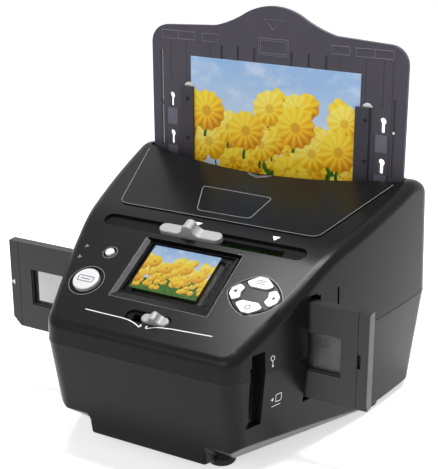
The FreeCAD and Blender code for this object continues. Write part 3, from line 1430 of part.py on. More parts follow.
channel_z = ("floor_height + seat_gap", "channel_top")
reach = ("tray_half - channel_reach", "tray_half + tray_gap + channel_web")
channel = fuse("channel", [
    box("channel_side", ("tray_half + tray_gap", "tray_half + tray_gap + channel_web"),
        ("tray_front - tray_gap - channel_web", "tray_rear + tray_gap + channel_web"), channel_z),
    box("channel_front", reach, ("tray_front - tray_gap - channel_web", "tray_front - tray_gap"), channel_z),
    box("channel_rear", reach, ("tray_rear + tray_gap", "tray_rear + tray_gap + channel_web"), channel_z),
    box("channel_stop", reach, ("tray_front - tray_gap - channel_web", "tray_rear + tray_gap + channel_web"),
        ("floor_height + seat_gap", "tray_bottom - seat_gap"))])
node("tray_rails", [channel, mirrored(channel)])
strip_x = span("light_x", "light_width / 2")
light_parts = [
    box("light_strip", strip_x, ("light_y", "light_y + board_plate"),
        ("floor_height + seat_gap", "light_top")),
    box("light_foot_plate", strip_x, ("light_y", "light_y + light_foot"),
        ("floor_height + seat_gap", "floor_height + seat_gap + board_plate"))]
for count in range(5):
    light_parts.append(box(
        f"lamp_{count}", span("light_x", "light_emitter / 2"),
        ("light_y + board_plate", "light_y + board_plate + light_emitter_proud"),
        span(f"(light_top - light_step * {count + 1})", "light_emitter / 2")))
lights = fuse("light_joined", light_parts)
node("photo_lights", [lights, mirrored(lights)])

# film holder, drawn about its own middle

holder_x = both("holder_length / 2")
holder_z = ("holder_bottom", "holder_top")
frame_cuts = [
    box(f"frame_{count}", span(f"frame_pitch * {count - 2.5}", "frame_width / 2"),
        ("holder_front - overrun", "holder_rear + overrun"), span("axis_height", "frame_height / 2"))
    for count in range(6)]
bevel_cuts = [
    box(f"bevel_{count}", span(f"frame_pitch * {count - 2.5}", "(frame_width / 2 + frame_bevel)"),
        ("holder_front - overrun", "holder_front + frame_bevel"),
        span("axis_height", "(frame_height / 2 + frame_bevel)"))
    for count in range(6)]
holder_plate = flat_body("holder_plate", [
    ("-holder_length / 2", "holder_bottom + holder_corner_cut"),
    ("-holder_length / 2 + holder_corner_cut", "holder_bottom"), ("holder_length / 2", "holder_bottom"),
    ("holder_length / 2", "holder_top"), ("-holder_length / 2", "holder_top")],
    "-holder_rear", "-holder_front", "XZ_Plane")
cover_room = box("cover_room", both("cover_half"), ("holder_front - overrun", "cover_rear"),
                 ("holder_bottom - overrun", "holder_top + overrun"))
film_room = box("film_room", both("frame_pitch * 3 + film_play"),
                ("holder_front", "cover_rear + film_thickness + film_play * 2"),
                span("axis_height", "(film_height / 2 + film_play)"))
thumb_room = box("thumb_room", ("cover_half - overrun", "cover_half + finger_notch_depth"),
                 ("holder_front - overrun", "cover_rear"), span("axis_height", "finger_notch / 2"))
pin_z = "holder_bottom + hinge_pin_radius * 2"
pin_y = "holder_front + hinge_pin_radius * 2"
pin_holes = []
pins = []
for side in (-1, 1):
    start = (f"{side} * cover_half - hinge_pin_reach", pin_y, pin_z)
    hole_start = (f"{side} * cover_half - hinge_pin_reach - seat_gap", pin_y, pin_z)
    pin_holes.append(rod(f"hinge_hole_{side}", "hinge_pin_radius + hinge_pin_gap", hole_start,
                         "hinge_pin_reach * 2 + seat_gap * 2", SIDEWAYS))
    pins.append(rod(f"hinge_pin_{side}", "hinge_pin_radius", start, "hinge_pin_reach * 2", SIDEWAYS))
node("film_holder_base", cut("holder_cut", holder_plate, [
    cover_room, film_room, thumb_room, *frame_cuts, *pin_holes]), "0")
cover_plate = box("cover_plate", both("cover_half - cover_gap"), ("holder_front", "cover_rear"), holder_z)
node("film_holder_cover", cut("cover_cut", cover_plate, [*frame_cuts, *bevel_cuts, *pin_holes]), "0")
node("holder_hinge_pins", pins, "0")
node("film_strip", box(
    "film", both("frame_pitch * 3"), ("cover_rear + film_play", "cover_rear + film_play + film_thickness"),
    span("axis_height", "film_height / 2")), "0")

doc.recompute()
for thing in doc.Objects:
    if "Invalid" in thing.State or "Error" in thing.State:
        raise RuntimeError(f"{thing.Name} doesn't build: {thing.State}")
os.makedirs("parts", exist_ok=True)
for placed in nodes:
    if placed.Shape.isNull() or not placed.Shape.isValid() or not placed.Shape.Solids:
        raise RuntimeError(f"{placed.Label} has no sound solid")
    placed.Shape.exportStep(f"parts/{placed.Label}.step")
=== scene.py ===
"""Looks of a desk-top scanner for film strips and prints, laid out as a Blender add-on."""

import cmath
import json
import math

import bpy
from mathutils import Matrix, Quaternion, Vector

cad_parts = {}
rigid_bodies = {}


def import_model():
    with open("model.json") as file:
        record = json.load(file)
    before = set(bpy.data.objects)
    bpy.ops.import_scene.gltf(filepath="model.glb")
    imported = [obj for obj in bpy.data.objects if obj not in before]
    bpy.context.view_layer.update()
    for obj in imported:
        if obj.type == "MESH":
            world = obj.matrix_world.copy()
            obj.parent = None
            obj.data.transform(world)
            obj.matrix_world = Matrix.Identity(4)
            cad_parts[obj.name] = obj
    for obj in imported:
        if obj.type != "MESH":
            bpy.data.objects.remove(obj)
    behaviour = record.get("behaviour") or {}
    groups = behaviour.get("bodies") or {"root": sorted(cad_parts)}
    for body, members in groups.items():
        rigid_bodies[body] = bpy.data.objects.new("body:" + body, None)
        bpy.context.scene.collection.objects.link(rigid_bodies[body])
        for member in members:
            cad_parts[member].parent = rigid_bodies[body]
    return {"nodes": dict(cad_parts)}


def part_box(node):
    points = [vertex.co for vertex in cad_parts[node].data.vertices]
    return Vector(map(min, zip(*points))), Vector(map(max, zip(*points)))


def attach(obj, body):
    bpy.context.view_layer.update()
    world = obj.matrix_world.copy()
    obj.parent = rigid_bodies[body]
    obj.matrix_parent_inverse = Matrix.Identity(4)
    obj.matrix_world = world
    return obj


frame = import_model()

bl_info = {
    "name": "Film and Print Scanner",
    "version": (1, 0, 0),
    "blender": (4, 5, 0),
    "location": "View3D > Sidebar > Scanner",
    "description": "Finishes, printed marks and studio of a desk-top scanner for film strips and prints",
    "category": "Object",
}

# How far the housing's middle stands right of the whole object's, in metres
SHIFT = 0.009

# Size and depth of the moulded grain, and pitch of the display's dots, in metres
GRAIN = 0.00042
GRAIN_DEPTH = 0.00003
DOT_PITCH = 0.00024

# Middles of the buttons and of the four keys, across and up the panel, in millimetres
SCAN_MIDDLE = (-55.3, 35.9)
POWER_MIDDLE = (-52.3, 60.9)
KEYS_MIDDLE = (55.7, 51.1)

# Tone of hollows that little light reaches, and plain black and white
UNLIT = (0.0008, 0.0008, 0.0008, 1.0)
BLACK = (0.0, 0.0, 0.0, 1.0)
WHITE = (1.0, 1.0, 1.0, 1.0)


# Places on the scanner where something is printed or moulded


class Ground:
    """A flat place on the scanner: an origin, its two directions and the way out of it."""

    def __init__(self, origin, across, up):
        self.origin = Vector(origin)
        self.across = Vector(across).normalized()
        self.up = Vector(up).normalized()
        self.out = self.across.cross(self.up).normalized()

    def point(self, u, v, w=0.0):
        """The point u across, v up and w out, all in millimetres."""
        return self.origin + (self.across * u + self.up * v + self.out * w) / 1000

    def turn(self):
        """The turn that lays a flat primitive on this place."""
        return Matrix((self.across, self.up, self.out)).transposed().to_quaternion()

    def within(self, paint):
        """The three sums that give a shader's place across, up and out of here, in metres."""
        x, y, z = paint.place.parts()
        x, y, z = x - self.origin.x, y - self.origin.y, z - self.origin.z
        return [x * way.x + y * way.y + z * way.z for way in (self.across, self.up, self.out)]


PANEL = Ground((SHIFT, -0.1005, 0.084375), (1, 0, 0), (0, 0.88394, 0.46760))
CROWN = Ground((SHIFT, -0.0186, 0.1277), (1, 0, 0), (0, 1, 0.253))
TRAY = Ground((SHIFT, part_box("photo_tray")[0].y, 0.0), (1, 0, 0), (0, 0, 1))
HOLDER = Ground((0.0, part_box("film_holder_base")[0].y, 0.0), (1, 0, 0), (0, 0, 1))
SLOT = Ground((SHIFT, -0.022, 0.125603), (1, 0, 0), (0, 0.93133, 0.36415))

# Slots, dishes and key well of the shells: the ground, the middle, the half width, the half height and the
# least depth, in millimetres
HOLLOWS = (
    (SLOT, (0.0, 0.0), 74.0, 6.2, 0.5),
    (PANEL, (0.0, 18.1), 16.5, 5.0, 0.4),
    (PANEL, SCAN_MIDDLE, 11.5, 11.5, 0.3),
    (PANEL, POWER_MIDDLE, 4.7, 4.7, 0.3),
    (PANEL, KEYS_MIDDLE, 18.6, 16.2, 0.3),
)


# Shader sums


class Signal:
    """A shader socket that takes part in sums. Each sum on values adds its Math node."""

    def __init__(self, paint, socket):
        self.paint = paint
        self.socket = socket

    def sum_of(self, operation, *values):
        """The Math node of that operation on these values."""
        return self.paint.node("ShaderNodeMath", {"operation": operation}, dict(enumerate(values)))

    def __add__(self, other):
        return self.sum_of("ADD", self, other)

    __radd__ = __add__

    def __sub__(self, other):
        return self.sum_of("SUBTRACT", self, other)

    def __rsub__(self, other):
        return self.sum_of("SUBTRACT", other, self)

    def __mul__(self, other):
        return self.sum_of("MULTIPLY", self, other)

    __rmul__ = __mul__

    def __truediv__(self, other):
        return self.sum_of("DIVIDE", self, other)

    def __lt__(self, other):
        return self.sum_of("LESS_THAN", self, other)

    def __gt__(self, other):
        return self.sum_of("GREATER_THAN", self, other)

    def __and__(self, other):
        return self.sum_of("MINIMUM", self, other)

    def __or__(self, other):
        return self.sum_of("MAXIMUM", self, other)

    def __abs__(self):
        return self.sum_of("ABSOLUTE", self)

    def sine(self):
        return self.sum_of("SINE", self)

    def angle(self, across):
        """The angle of the direction that goes this far up and so far across."""
        return self.sum_of("ARCTAN2", self, across)

    def root(self):
        return self.sum_of("SQRT", self)

    def wave(self, length):
        """Distance from the middle of the nearest repeat, from 0 to half a length."""
        return abs(self - self.sum_of("ROUND", self / length) * length)

    def eased(self, low, high):
        """0 at low, 1 at high and smooth between. It falls where low is the greater of the two."""
        falls = low > high
        sockets = {
            "Value": self, "From Min": min(low, high), "From Max": max(low, high),
            "To Min": float(falls), "To Max": float(not falls),
        }
        return self.paint.node("ShaderNodeMapRange", {"interpolation_type": "SMOOTHSTEP"}, sockets)

    def parts(self):
        """The three values of a vector."""
        return self.paint.node("ShaderNodeSeparateXYZ", {}, {"Vector": self}, "X", "Y", "Z")


class Nodes:
    """A node tree in the making. Every node comes from one method."""

    def __init__(self, owner):
        owner.use_nodes = True
        self.tree = owner.node_tree
        self.tree.nodes.clear()

    def node(self, kind, settings, sockets, *outputs):
        """Adds a node with its settings, then its socket values or links.

        It gives the named outputs, or the first one where none is named.
        """
        made = self.tree.nodes.new(kind)
        for name, value in settings.items():
            if name == "stops":
                self.set_stops(made.color_ramp, value)
            else:
                setattr(made, name, value)
        for name, value in sockets.items():
            if isinstance(value, Signal):
                self.tree.links.new(value.socket, made.inputs[name])
            else:
                made.inputs[name].default_value = value
        wanted = outputs or range(len(made.outputs[:1]))
        signals = [Signal(self, made.outputs[name]) for name in wanted]
        return signals[0] if len(signals) == 1 else signals

    def set_stops(self, ramp, stops):
        """Sets a colour ramp's stops, each a place from 0 to 1 and a colour."""
        while len(ramp.elements) < len(stops):
            ramp.elements.new(1.0)
        for element, (place, colour) in zip(ramp.elements, stops):
            element.position = place
            element.color = solid(colour)


class Paint(Nodes):
    """A material in the making, in the coordinates of the object that wears it."""

    def __init__(self, name):
        self.material = bpy.data.materials.new(name)
        super().__init__(self.material)
        self.place = self.node("ShaderNodeTexCoord", {}, {}, "Object")

    def noise(self, size, detail=2.0, rough=0.5, vector=None):
        """Soft random pattern with features of that size in metres."""
        sockets = {"Vector": vector or self.place, "Scale": 1 / size, "Detail": detail, "Roughness": rough}
        return self.node("ShaderNodeTexNoise", {}, sockets, "Fac")

    def mix(self, factor, first, second):
        """Colour from first to second. A Mix node's sockets share their names, so these go by number."""
        return self.node("ShaderNodeMix", {"data_type": "RGBA"}, {0: factor, 6: first, 7: second}, 2)

    def ramp(self, factor, *stops):
        """Colour along a ramp with these stops, each a place from 0 to 1 and a colour."""
        return self.node("ShaderNodeValToRGB", {"stops": stops}, {"Fac": factor}, "Color")

    def stretched(self, scale):
        """The place with each axis drawn out or pressed together."""
        return self.node("ShaderNodeMapping", {}, {"Vector": self.place, "Scale": scale})

    def bump(self, height, strength, distance):
        """Relief of so many metres under light."""
        sockets = {"Height": height, "Strength": strength, "Distance": distance}
        return self.node("ShaderNodeBump", {}, sockets, "Normal")

    def close(self, **finish):
        """Ends the material with a surface of these values or links."""
        named = {}
        for name, value in finish.items():
            named[name.replace("_", " ").title().replace("Ior", "IOR")] = value
        surface = self.node("ShaderNodeBsdfPrincipled", {}, named)
        self.node("ShaderNodeOutputMaterial", {}, {"Surface": surface})
        return self.material


def solid(colour):
    """A colour with full cover."""
    return (*colour[:3], 1.0)


def shade(colour, amount):
    """A colour made lighter or darker."""
    return (*(min(1.0, part * amount) for part in colour[:3]), 1.0)


def grained(paint, colour, roughness, spread=0.12):
    """Tone, sheen and relief of moulded plastic, with fine spark texture and soft clouds."""
    fine = paint.noise(GRAIN, 3.0, 0.6)
    cloud = paint.noise(0.03, 2.0)
    tone = paint.mix(cloud.eased(0.3, 0.7), shade(colour, 1 - spread), shade(colour, 1 + spread))
    tone = paint.mix(fine.eased(0.35, 0.75) * 0.35, tone, shade(colour, 1.35))
    sheen = roughness - 0.04 + 0.05 * cloud + 0.06 * fine
    return tone, sheen, paint.bump(fine, 0.35, GRAIN_DEPTH)


def moulded(name, colour, roughness, spread=0.12):
    """Injection-moulded plastic."""
    paint = Paint(name)
    tone, sheen, normal = grained(paint, colour, roughness, spread)
    return paint.close(base_color=tone, roughness=sheen, normal=normal, specular_ior_level=0.3)


def shell_plastic(name, colour, roughness):
    """The shells' plastic, black in the slots, the dishes and the key well, where little light falls."""
    paint = Paint(name)
    tone, sheen, normal = grained(paint, colour, roughness)
    hollow = None
    for ground, (u, v), half_u, half_v, depth in HOLLOWS:
        across, up, out = ground.within(paint)
        spot = (abs(across - u / 1000) < half_u / 1000) & (abs(up - v / 1000) < half_v / 1000)
        spot = spot & (out < -depth / 1000)
        hollow = spot if hollow is None else hollow | spot
    tone = paint.mix(hollow, tone, UNLIT)
    sheen = sheen + 0.5 * hollow
    return paint.close(base_color=tone, roughness=sheen, normal=normal, specular_ior_level=0.14)


def satin(name, colour, roughness, metallic=0.0):
    """Smooth satin plastic, as on painted keys: faint pearl flakes and soft handling marks."""
    paint = Paint(name)
    flakes = paint.noise(0.0003, 1.0, 0.4)
    cloud = paint.noise(0.012, 3.0)
    tone = paint.mix(cloud.eased(0.35, 0.65) * 0.5, colour, shade(colour, 0.93))
    tone = paint.mix(flakes.eased(0.5, 0.8) * 0.3, tone, shade(colour, 1.12))
    sheen = roughness + 0.08 * (cloud - 0.5)
    normal = paint.bump(flakes, 0.15, 0.00001)
    return paint.close(base_color=tone, roughness=sheen, metallic=metallic, normal=normal, coat_weight=0.15)


def gloss(name, colour, roughness, specular=0.22):
    """Polished plastic with a faint orange-peel skin."""
    paint = Paint(name)
    peel = paint.noise(0.002, 2.0)
    dust = paint.noise(0.0008, 2.0)
    tone = paint.mix(dust.eased(0.62, 0.72) * 0.4, colour, shade(colour, 1.6))
    normal = paint.bump(peel, 0.12, 0.00002)
    sheen = roughness + 0.1 * dust.eased(0.6, 0.75)
    return paint.close(base_color=tone, roughness=sheen, normal=normal, specular_ior_level=specular)


def metal(name, colour, roughness, along=(1, 1, 1)):
    """Bare metal with fine drawing lines along one axis."""
    paint = Paint(name)
    lines = paint.noise(0.0006, 2.0, 0.6, paint.stretched(along))
    tone = paint.mix(lines.eased(0.3, 0.7), shade(colour, 0.85), colour)
    normal = paint.bump(lines, 0.2, 0.00002)
    return paint.close(base_color=tone, roughness=roughness + 0.15 * lines, metallic=1.0, normal=normal)


def circuit(name, colour):
    """Board with solder resist over a net of copper tracks and plated holes."""
    paint = Paint(name)
    x, y, z = paint.place.parts()
    lane = (x + y).wave(0.0026) | (z + y * 0.5).wave(0.0031)
    tracks = lane.eased(0.0011, 0.0013)
    cells = {"Vector": paint.place, "Scale": 210.0, "Randomness": 0.7}
    spots = paint.node("ShaderNodeTexVoronoi", {"feature": "F1"}, cells, "Distance")
    pads = spots.eased(0.16, 0.13)
    tone = paint.mix(tracks * 0.6, colour, shade(colour, 1.9))
    tone = paint.mix(pads, tone, (0.62, 0.6, 0.5, 1.0))
    normal = paint.bump(tracks | pads, 0.4, 0.00004)
    return paint.close(base_color=tone, roughness=0.42 - 0.12 * pads, metallic=pads * 0.8, normal=normal)


def rubber(name, colour):
    """Soft black rubber with a dull bloom."""
    paint = Paint(name)
    fine = paint.noise(0.0005, 4.0, 0.7)
    bloom = paint.noise(0.006, 3.0)
    tone = paint.mix(bloom.eased(0.4, 0.7), colour, shade(colour, 1.7))
    return paint.close(base_color=tone, roughness=0.7 + 0.2 * bloom, normal=paint.bump(fine, 0.5, 0.00004))


# Picture of round blossoms in a field, for the print and for the display


def blossoms(paint, picture, across, up, size, seed, reach, colours, petals):
    """Lays a scatter of round blossoms on stems over the picture, each kept whole or left out.

    Size is the room of one blossom, seed shifts the scatter, and reach is the least and the greatest height
    of a blossom's middle. Colours go from the shaded side to the lit one.
    """
    place = paint.node("ShaderNodeCombineXYZ", {}, {"X": across + seed, "Y": up + seed})
    settings = {"voronoi_dimensions": "2D", "feature": "F1"}
    sockets = {"Vector": place, "Scale": 1 / size, "Randomness": 0.75}
    centre, own = paint.node("ShaderNodeTexVoronoi", settings, sockets, "Position", "Color")
    centre_x, centre_y, _ = centre.parts()
    chance, turned, _ = own.parts()
    dx = (across + seed - centre_x) / size
    dy = (up + seed - centre_y) / size
    spread = (dx * dx + dy * dy).root()
    petal = (dy.angle(dx) * petals + turned * 6.0).sine()
    radius = 0.38 + 0.12 * chance + 0.02 * petal
    share = spread / radius
    inside = share.eased(1.04, 0.97)
    height = centre_y - seed
    kept = (height > reach[0]) & (height < reach[1])
    stem_half = 0.035
    stem = (abs(dx + 0.04 * (dy * 9.0).sine()) < stem_half) & (dy < 0.0)
    green = paint.mix(abs(dx) / stem_half, (0.16, 0.34, 0.05, 1.0), (0.03, 0.1, 0.01, 1.0))
    picture = paint.mix(stem & kept, picture, green)
    light = (0.55 + dy * 0.9 - dx * 0.5 + petal * 0.14 + (1 - share) * 0.25).eased(0.0, 1.1)
    tone = paint.ramp(light, (0.0, colours[0]), (0.45, colours[1]), (1.0, colours[2]))
    heart = share.eased(0.3, 0.2) * 0.55
    tone = paint.mix(heart, tone, solid(colours[0]))
    return paint.mix(inside & kept, picture, tone)


def meadow(paint, across, up, unit):
    """A field of round blossoms under a plain sky. Unit is a quarter of the picture's height."""
    height = up / unit
    streak = paint.node("ShaderNodeCombineXYZ", {}, {"X": across / unit, "Y": height * 1.6})
    wisp = paint.noise(0.9, 4.0, 0.55, streak)
    sky = paint.ramp(height.eased(1.6, 4.1), (0.0, (0.66, 0.8, 0.95)), (1.0, (0.33, 0.53, 0.84)))
    picture = paint.mix(wisp.eased(0.45, 0.75) * 0.5, sky, (0.9, 0.94, 1.0, 1.0))
    thin = paint.node("ShaderNodeCombineXYZ", {}, {"X": across / unit, "Y": height * 0.1})
    blades = paint.noise(0.05, 3.0, 0.6, thin)
    greens = ((0.3, (0.012, 0.05, 0.008)), (0.55, (0.06, 0.2, 0.02)), (0.75, (0.25, 0.45, 0.06)))
    grass = paint.ramp(blades, *greens)
    ridge = 1.35 + 0.3 * (across / unit * 1.1 + 0.6).sine()
    picture = paint.mix((height - ridge).eased(0.06, -0.02), picture, grass)
    gold = ((0.6, 0.2, 0.005), (0.93, 0.5, 0.012), (1.0, 0.78, 0.06))
    lemon = ((0.7, 0.32, 0.005), (0.98, 0.64, 0.02), (1.0, 0.86, 0.16))
    # Far to near: room of one blossom, seed, least and greatest height, colours and petals, in units
    rows = (
        (0.4, 1.7, (1.3, 2.5), gold, 7),
        (0.62, 3.1, (0.55, 2.35), lemon, 9),
        (0.85, 4.3, (1.2, 3.1), gold, 8),
        (0.5, 2.2, (0.35, 1.1), gold, 7),
        (1.05, 2.6, (1.3, 3.25), lemon, 11),
        (1.3, 7.4, (1.2, 3.3), gold, 13),
    )
    for size, seed, reach, colours, petals in rows:
        span = (reach[0] * unit, reach[1] * unit)
        picture = blossoms(paint, picture, across, up, size * unit, seed * unit, span, colours, petals)
    return picture


def picture_print(name, middle, foot, height):
    """Glossy photographic paper with the meadow on it, so high above its foot."""
    paint = Paint(name)
    x, _, z = paint.place.parts()
    picture = meadow(paint, x - middle, z - foot, height / 4)
    skin = paint.noise(0.004, 2.0)
    normal = paint.bump(skin, 0.05, 0.00002)
    return paint.close(base_color=picture, roughness=0.3 + 0.05 * skin, normal=normal, specular_ior_level=0.2)


def lit_display(name, ground, low, high, bright):
    """Cell of the display, on which the meadow shines through fine columns of dots.

    Low and high are its corners across and up the ground, in millimetres.
    """
    paint = Paint(name)
    across, up, _ = ground.within(paint)
    across = across - (low[0] + high[0]) / 2000
    picture = meadow(paint, across, up - low[1] / 1000, (high[1] - low[1]) / 4000)
    dots = 0.9 + 0.1 * (across.wave(DOT_PITCH) / (DOT_PITCH / 2))
    glow = paint.mix(dots, BLACK, picture)
    return paint.close(
        base_color=(0.004, 0.004, 0.005, 1.0), roughness=0.35 + 0.02 * dots, specular_ior_level=0.1,
        emission_color=glow, emission_strength=bright,
    )


# Work on meshes, as by hand. Marks are modelled flat at the origin and then laid on their place.


def clear_selection():
    """Deselects everything."""
    for item in bpy.context.view_layer.objects:
        item.select_set(False)


def take(item):
    """Makes one object the selected and active one."""
    clear_selection()
    item.select_set(True)
    bpy.context.view_layer.objects.active = item


def joined(pieces):
    """One object of several."""
    take(pieces[0])
    for piece in pieces:
        piece.select_set(True)
    if len(pieces) > 1:
        bpy.ops.object.join()
    return bpy.context.object


def lay(item, ground, u=0.0, v=0.0, w=0.0):
    """Lays a flat model on its place, with its origin u across, v up and w out, in millimetres."""
    take(item)
    item.rotation_mode = "QUATERNION"
    item.rotation_quaternion = ground.turn()
    item.location = ground.point(u, v, w)
    bpy.ops.object.transform_apply(location=True, rotation=True, scale=True)
    return item


def settle(item, name, material, body):
    """Names a finished piece, gives it its finish and lets it ride on a body."""
    item.name = name
    item.data.name = name
    item.data.materials.clear()
    item.data.materials.append(material)
    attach(item, body)


def trace(corners, closed):
    """A chain of edges through corners in millimetres, left in edit mode with all of it selected."""
    points = [Vector((u, v, 0)) / 1000 for u, v in corners]
    clear_selection()
    bpy.ops.mesh.primitive_plane_add(size=0.001, location=points[0])
    bpy.ops.object.transform_apply(location=True, rotation=True, scale=True)
    bpy.ops.object.mode_set(mode="EDIT")
    bpy.ops.mesh.select_mode(type="VERT")
    bpy.ops.mesh.select_all(action="SELECT")
    bpy.ops.mesh.merge(type="CENTER")
    for before, after in zip(points, points[1:] + (points[:1] if closed else [])):
        bpy.ops.mesh.extrude_vertices_move(TRANSFORM_OT_translate={"value": after - before})
    bpy.ops.mesh.select_all(action="SELECT")
    if closed:
        bpy.ops.mesh.remove_doubles(threshold=0.00001)


def line(corners, width, proud, closed=False):
    """A thin line with a round back, so wide and so proud in millimetres."""
    trace(corners, closed)
    bpy.ops.object.mode_set(mode="OBJECT")
    bpy.ops.object.convert(target="CURVE")
    curve = bpy.context.object.data
    curve.bevel_depth = width / 2000
    curve.bevel_resolution = 1
    curve.use_fill_caps = True
    bpy.ops.object.convert(target="MESH")
    bpy.ops.object.mode_set(mode="EDIT")
    bpy.ops.mesh.select_all(action="SELECT")
    bpy.ops.transform.resize(value=(1, 1, proud * 2 / width), center_override=(0, 0, 0))
    bpy.ops.mesh.normals_make_consistent(inside=False)
    bpy.ops.object.mode_set(mode="OBJECT")
    return bpy.context.object


def plate(corners, proud, sunk=0.05):
    """A thin flat piece with this outline, sunk and proud by so many millimetres."""
    trace(corners, True)
    bpy.ops.mesh.edge_face_add()
    bpy.ops.transform.translate(value=(0, 0, -sunk / 1000))
    bpy.ops.mesh.extrude_region_move(TRANSFORM_OT_translate={"value": (0, 0, (proud + sunk) / 1000)})
    bpy.ops.mesh.select_all(action="SELECT")
    bpy.ops.mesh.normals_make_consistent(inside=False)
    bpy.ops.object.mode_set(mode="OBJECT")
    return bpy.context.object


def circle(radius, count, u=0.0, v=0.0, turned=0.0):
    """Corners on a circle. Three make a triangle that points up, four a square."""
    steps = [math.radians(90 + turned + 360 * step / count) for step in range(count)]
    return [(u + radius * math.cos(step), v + radius * math.sin(step)) for step in steps]


def bulged(corner, top, share, count):
    """A closed oval of four arcs through (corner, 0), (0, top) and the point at that share of both."""
    mirror = ((1, 1), (-1, 1), (-1, -1), (1, -1))
    points = []
    for quarter, (side, way) in enumerate(mirror):
        piece = arc((corner, 0), (corner * share, top * share), (0, top), count)
        piece = piece if quarter % 2 == 0 else piece[::-1]
        points += [(side * u, way * v) for u, v in piece[:-1]]
    return points


def arc(first, via, last, count):
    """Points on the arc through three points, both ends included."""
    a, b, c = (complex(*point) for point in (first, via, last))
    w = (c - a) / (b - a)
    centre = a - (a - b) * (w - abs(w) ** 2) / (2j * w.imag)
    start = a - centre
    turn = cmath.phase((c - centre) / start)
    if cmath.phase((b - centre) / start) * turn < 0:
        turn -= math.copysign(2 * math.pi, turn)
    steps = [centre + start * cmath.exp(1j * turn * step / count) for step in range(count + 1)]
    return [(step.real, step.imag) for step in steps]


def rounded(corners, radius, count=4):
    """The outline with each corner cut back by radius and bent."""
    points = []
    for index, corner in enumerate(corners):
        here = Vector(corner)
        before = (Vector(corners[index - 1]) - here).normalized() * radius
        after = (Vector(corners[(index + 1) % len(corners)]) - here).normalized() * radius
        for step in range(count + 1):
            t = step / count
            point = (here + before) * (1 - t) ** 2 + here * 2 * t * (1 - t) + (here + after) * t**2
            points.append(tuple(point))
    return points


def block(left, right, low, high):
    """Corners of an upright rectangle."""
    return [(left, low), (right, low), (right, high), (left, high)]


def ground_on(name, start, way):
    """The flat place, level across, where a line from start first meets a CAD node."""
    node = frame["nodes"][name]
    found, place, out, _ = node.ray_cast(Vector(start), Vector(way))
    if not found:
        raise RuntimeError(f"nothing of {name} lies ahead")
    across = Vector((0, 0, 1)).cross(out)
    return Ground(place, across, out.cross(across))


def seam(name, height, width):
    """A line of that width in millimetres along the outline of a CAD node at that height in metres."""
    node = frame["nodes"][name]
    take(node)
    bpy.ops.object.duplicate()
    bpy.ops.object.mode_set(mode="EDIT")
    bpy.ops.mesh.select_all(action="SELECT")
    bpy.ops.mesh.bisect(plane_co=(0, 0, height), plane_no=(0, 0, 1), clear_inner=True, clear_outer=True)
    bpy.ops.mesh.select_all(action="SELECT")
    bpy.ops.mesh.remove_doubles(threshold=0.00002)
    bpy.ops.object.mode_set(mode="OBJECT")
    bpy.ops.object.convert(target="CURVE")
    curve = bpy.context.object.data
    curve.bevel_depth = width / 2000
    curve.bevel_resolution = 0
    bpy.ops.object.convert(target="MESH")
    return bpy.context.object


def dress(material, *names):
    """Gives CAD nodes their finish."""
    for name in names:
        node = frame["nodes"][name]
        if not node.material_slots:
            node.data.materials.append(material)
        for place in node.material_slots:
            place.material = material


# Sizes and colours that a user would change


def colour_of(name, description, value):
    """A colour that a user can change."""
    return bpy.props.FloatVectorProperty(
        name=name, description=description, default=value, size=3, min=0.0, max=1.0, subtype="COLOR"
    )


def length_of(name, description, value):
    """A length in millimetres that a user can change."""
    return bpy.props.FloatProperty(
        name=name, description=description + ", in millimetres", default=value, min=0.01
    )


def angle_of(name, description, degrees):
    """An angle that a user can change."""
    return bpy.props.FloatProperty(
        name=name, description=description, default=math.radians(degrees), subtype="ANGLE", unit="ROTATION"
    )


class ScannerFinishes(bpy.types.PropertyGroup):
    """Colours and finishes of the scanner."""

    housing: colour_of("Housing", "Moulded shells", (0.0045, 0.0045, 0.0047))
    tray: colour_of("Tray", "Photo tray and its guides", (0.058, 0.053, 0.07))
    holder: colour_of("Holder", "Film holder", (0.026, 0.026, 0.027))
    keys: colour_of("Keys", "Keys, buttons and knobs", (0.5, 0.5, 0.51))
    marks: colour_of("Marks", "Printed lines and triangles", (0.8, 0.8, 0.8))
    # Painted highlight: this lighter grey on rims and edges stands in for the light that they catch
    edges: colour_of("Edges", "Rims and edges that catch the light", (0.16, 0.16, 0.165))
    board: colour_of("Boards", "Solder resist", (0.004, 0.03, 0.012))
    housing_roughness: bpy.props.FloatProperty(
        name="Housing roughness", description="How matt the shells are", default=0.24, min=0.0, max=1.0,
        subtype="FACTOR",
    )
    display_light: bpy.props.FloatProperty(
        name="Display light", description="Strength of the lit picture", default=0.85, min=0.0, max=5.0
    )


class ScannerMarks(bpy.types.PropertyGroup):
    """Sizes of the printed and moulded marks."""

    line_width: length_of("Line width", "Width of a printed line", 0.55)
    print_proud: length_of("Print height", "How far print stands out", 0.05)
    rib_width: length_of("Rib width", "Width of a moulded line", 0.6)
    rib_proud: length_of("Rib height", "How far a moulded line stands out", 0.2)
    rim_width: length_of("Rim width", "Width of the rims round the buttons", 0.45)
    arrow: length_of("Arrow", "Radius of a slider's triangle", 2.9)
    seam_width: length_of("Seam", "Width of the seam between the shells", 0.5)


class ScannerStudio(bpy.types.PropertyGroup):
    """Camera, floor and lamps."""

    camera_place: bpy.props.FloatVectorProperty(
        name="Camera", description="Place of the camera", default=(0.3565, -0.6113, 0.3697), size=3,
        subtype="XYZ", unit="LENGTH",
    )
    camera_azimuth: angle_of("Azimuth", "Camera's turn round the scanner", 29.594)
    camera_elevation: angle_of("Elevation", "Camera's height above the horizon", 19.592)
    camera_roll: angle_of("Roll", "Camera's turn about its own axis", -0.171)
    lens: bpy.props.FloatProperty(
        name="Lens", description="Focal length in millimetres", default=89.28, min=10.0, unit="CAMERA"
    )
    floor_colour: colour_of("Floor", "Pale floor", (0.88, 0.88, 0.88))
    key_power: bpy.props.FloatProperty(
        name="Key lamp", description="Power of the overhead lamp", default=13.0, min=0.0, unit="POWER"
    )
    fill: bpy.props.FloatProperty(
        name="Fill", description="Strength of the wide light from the front", default=1.0, min=0.0
    )


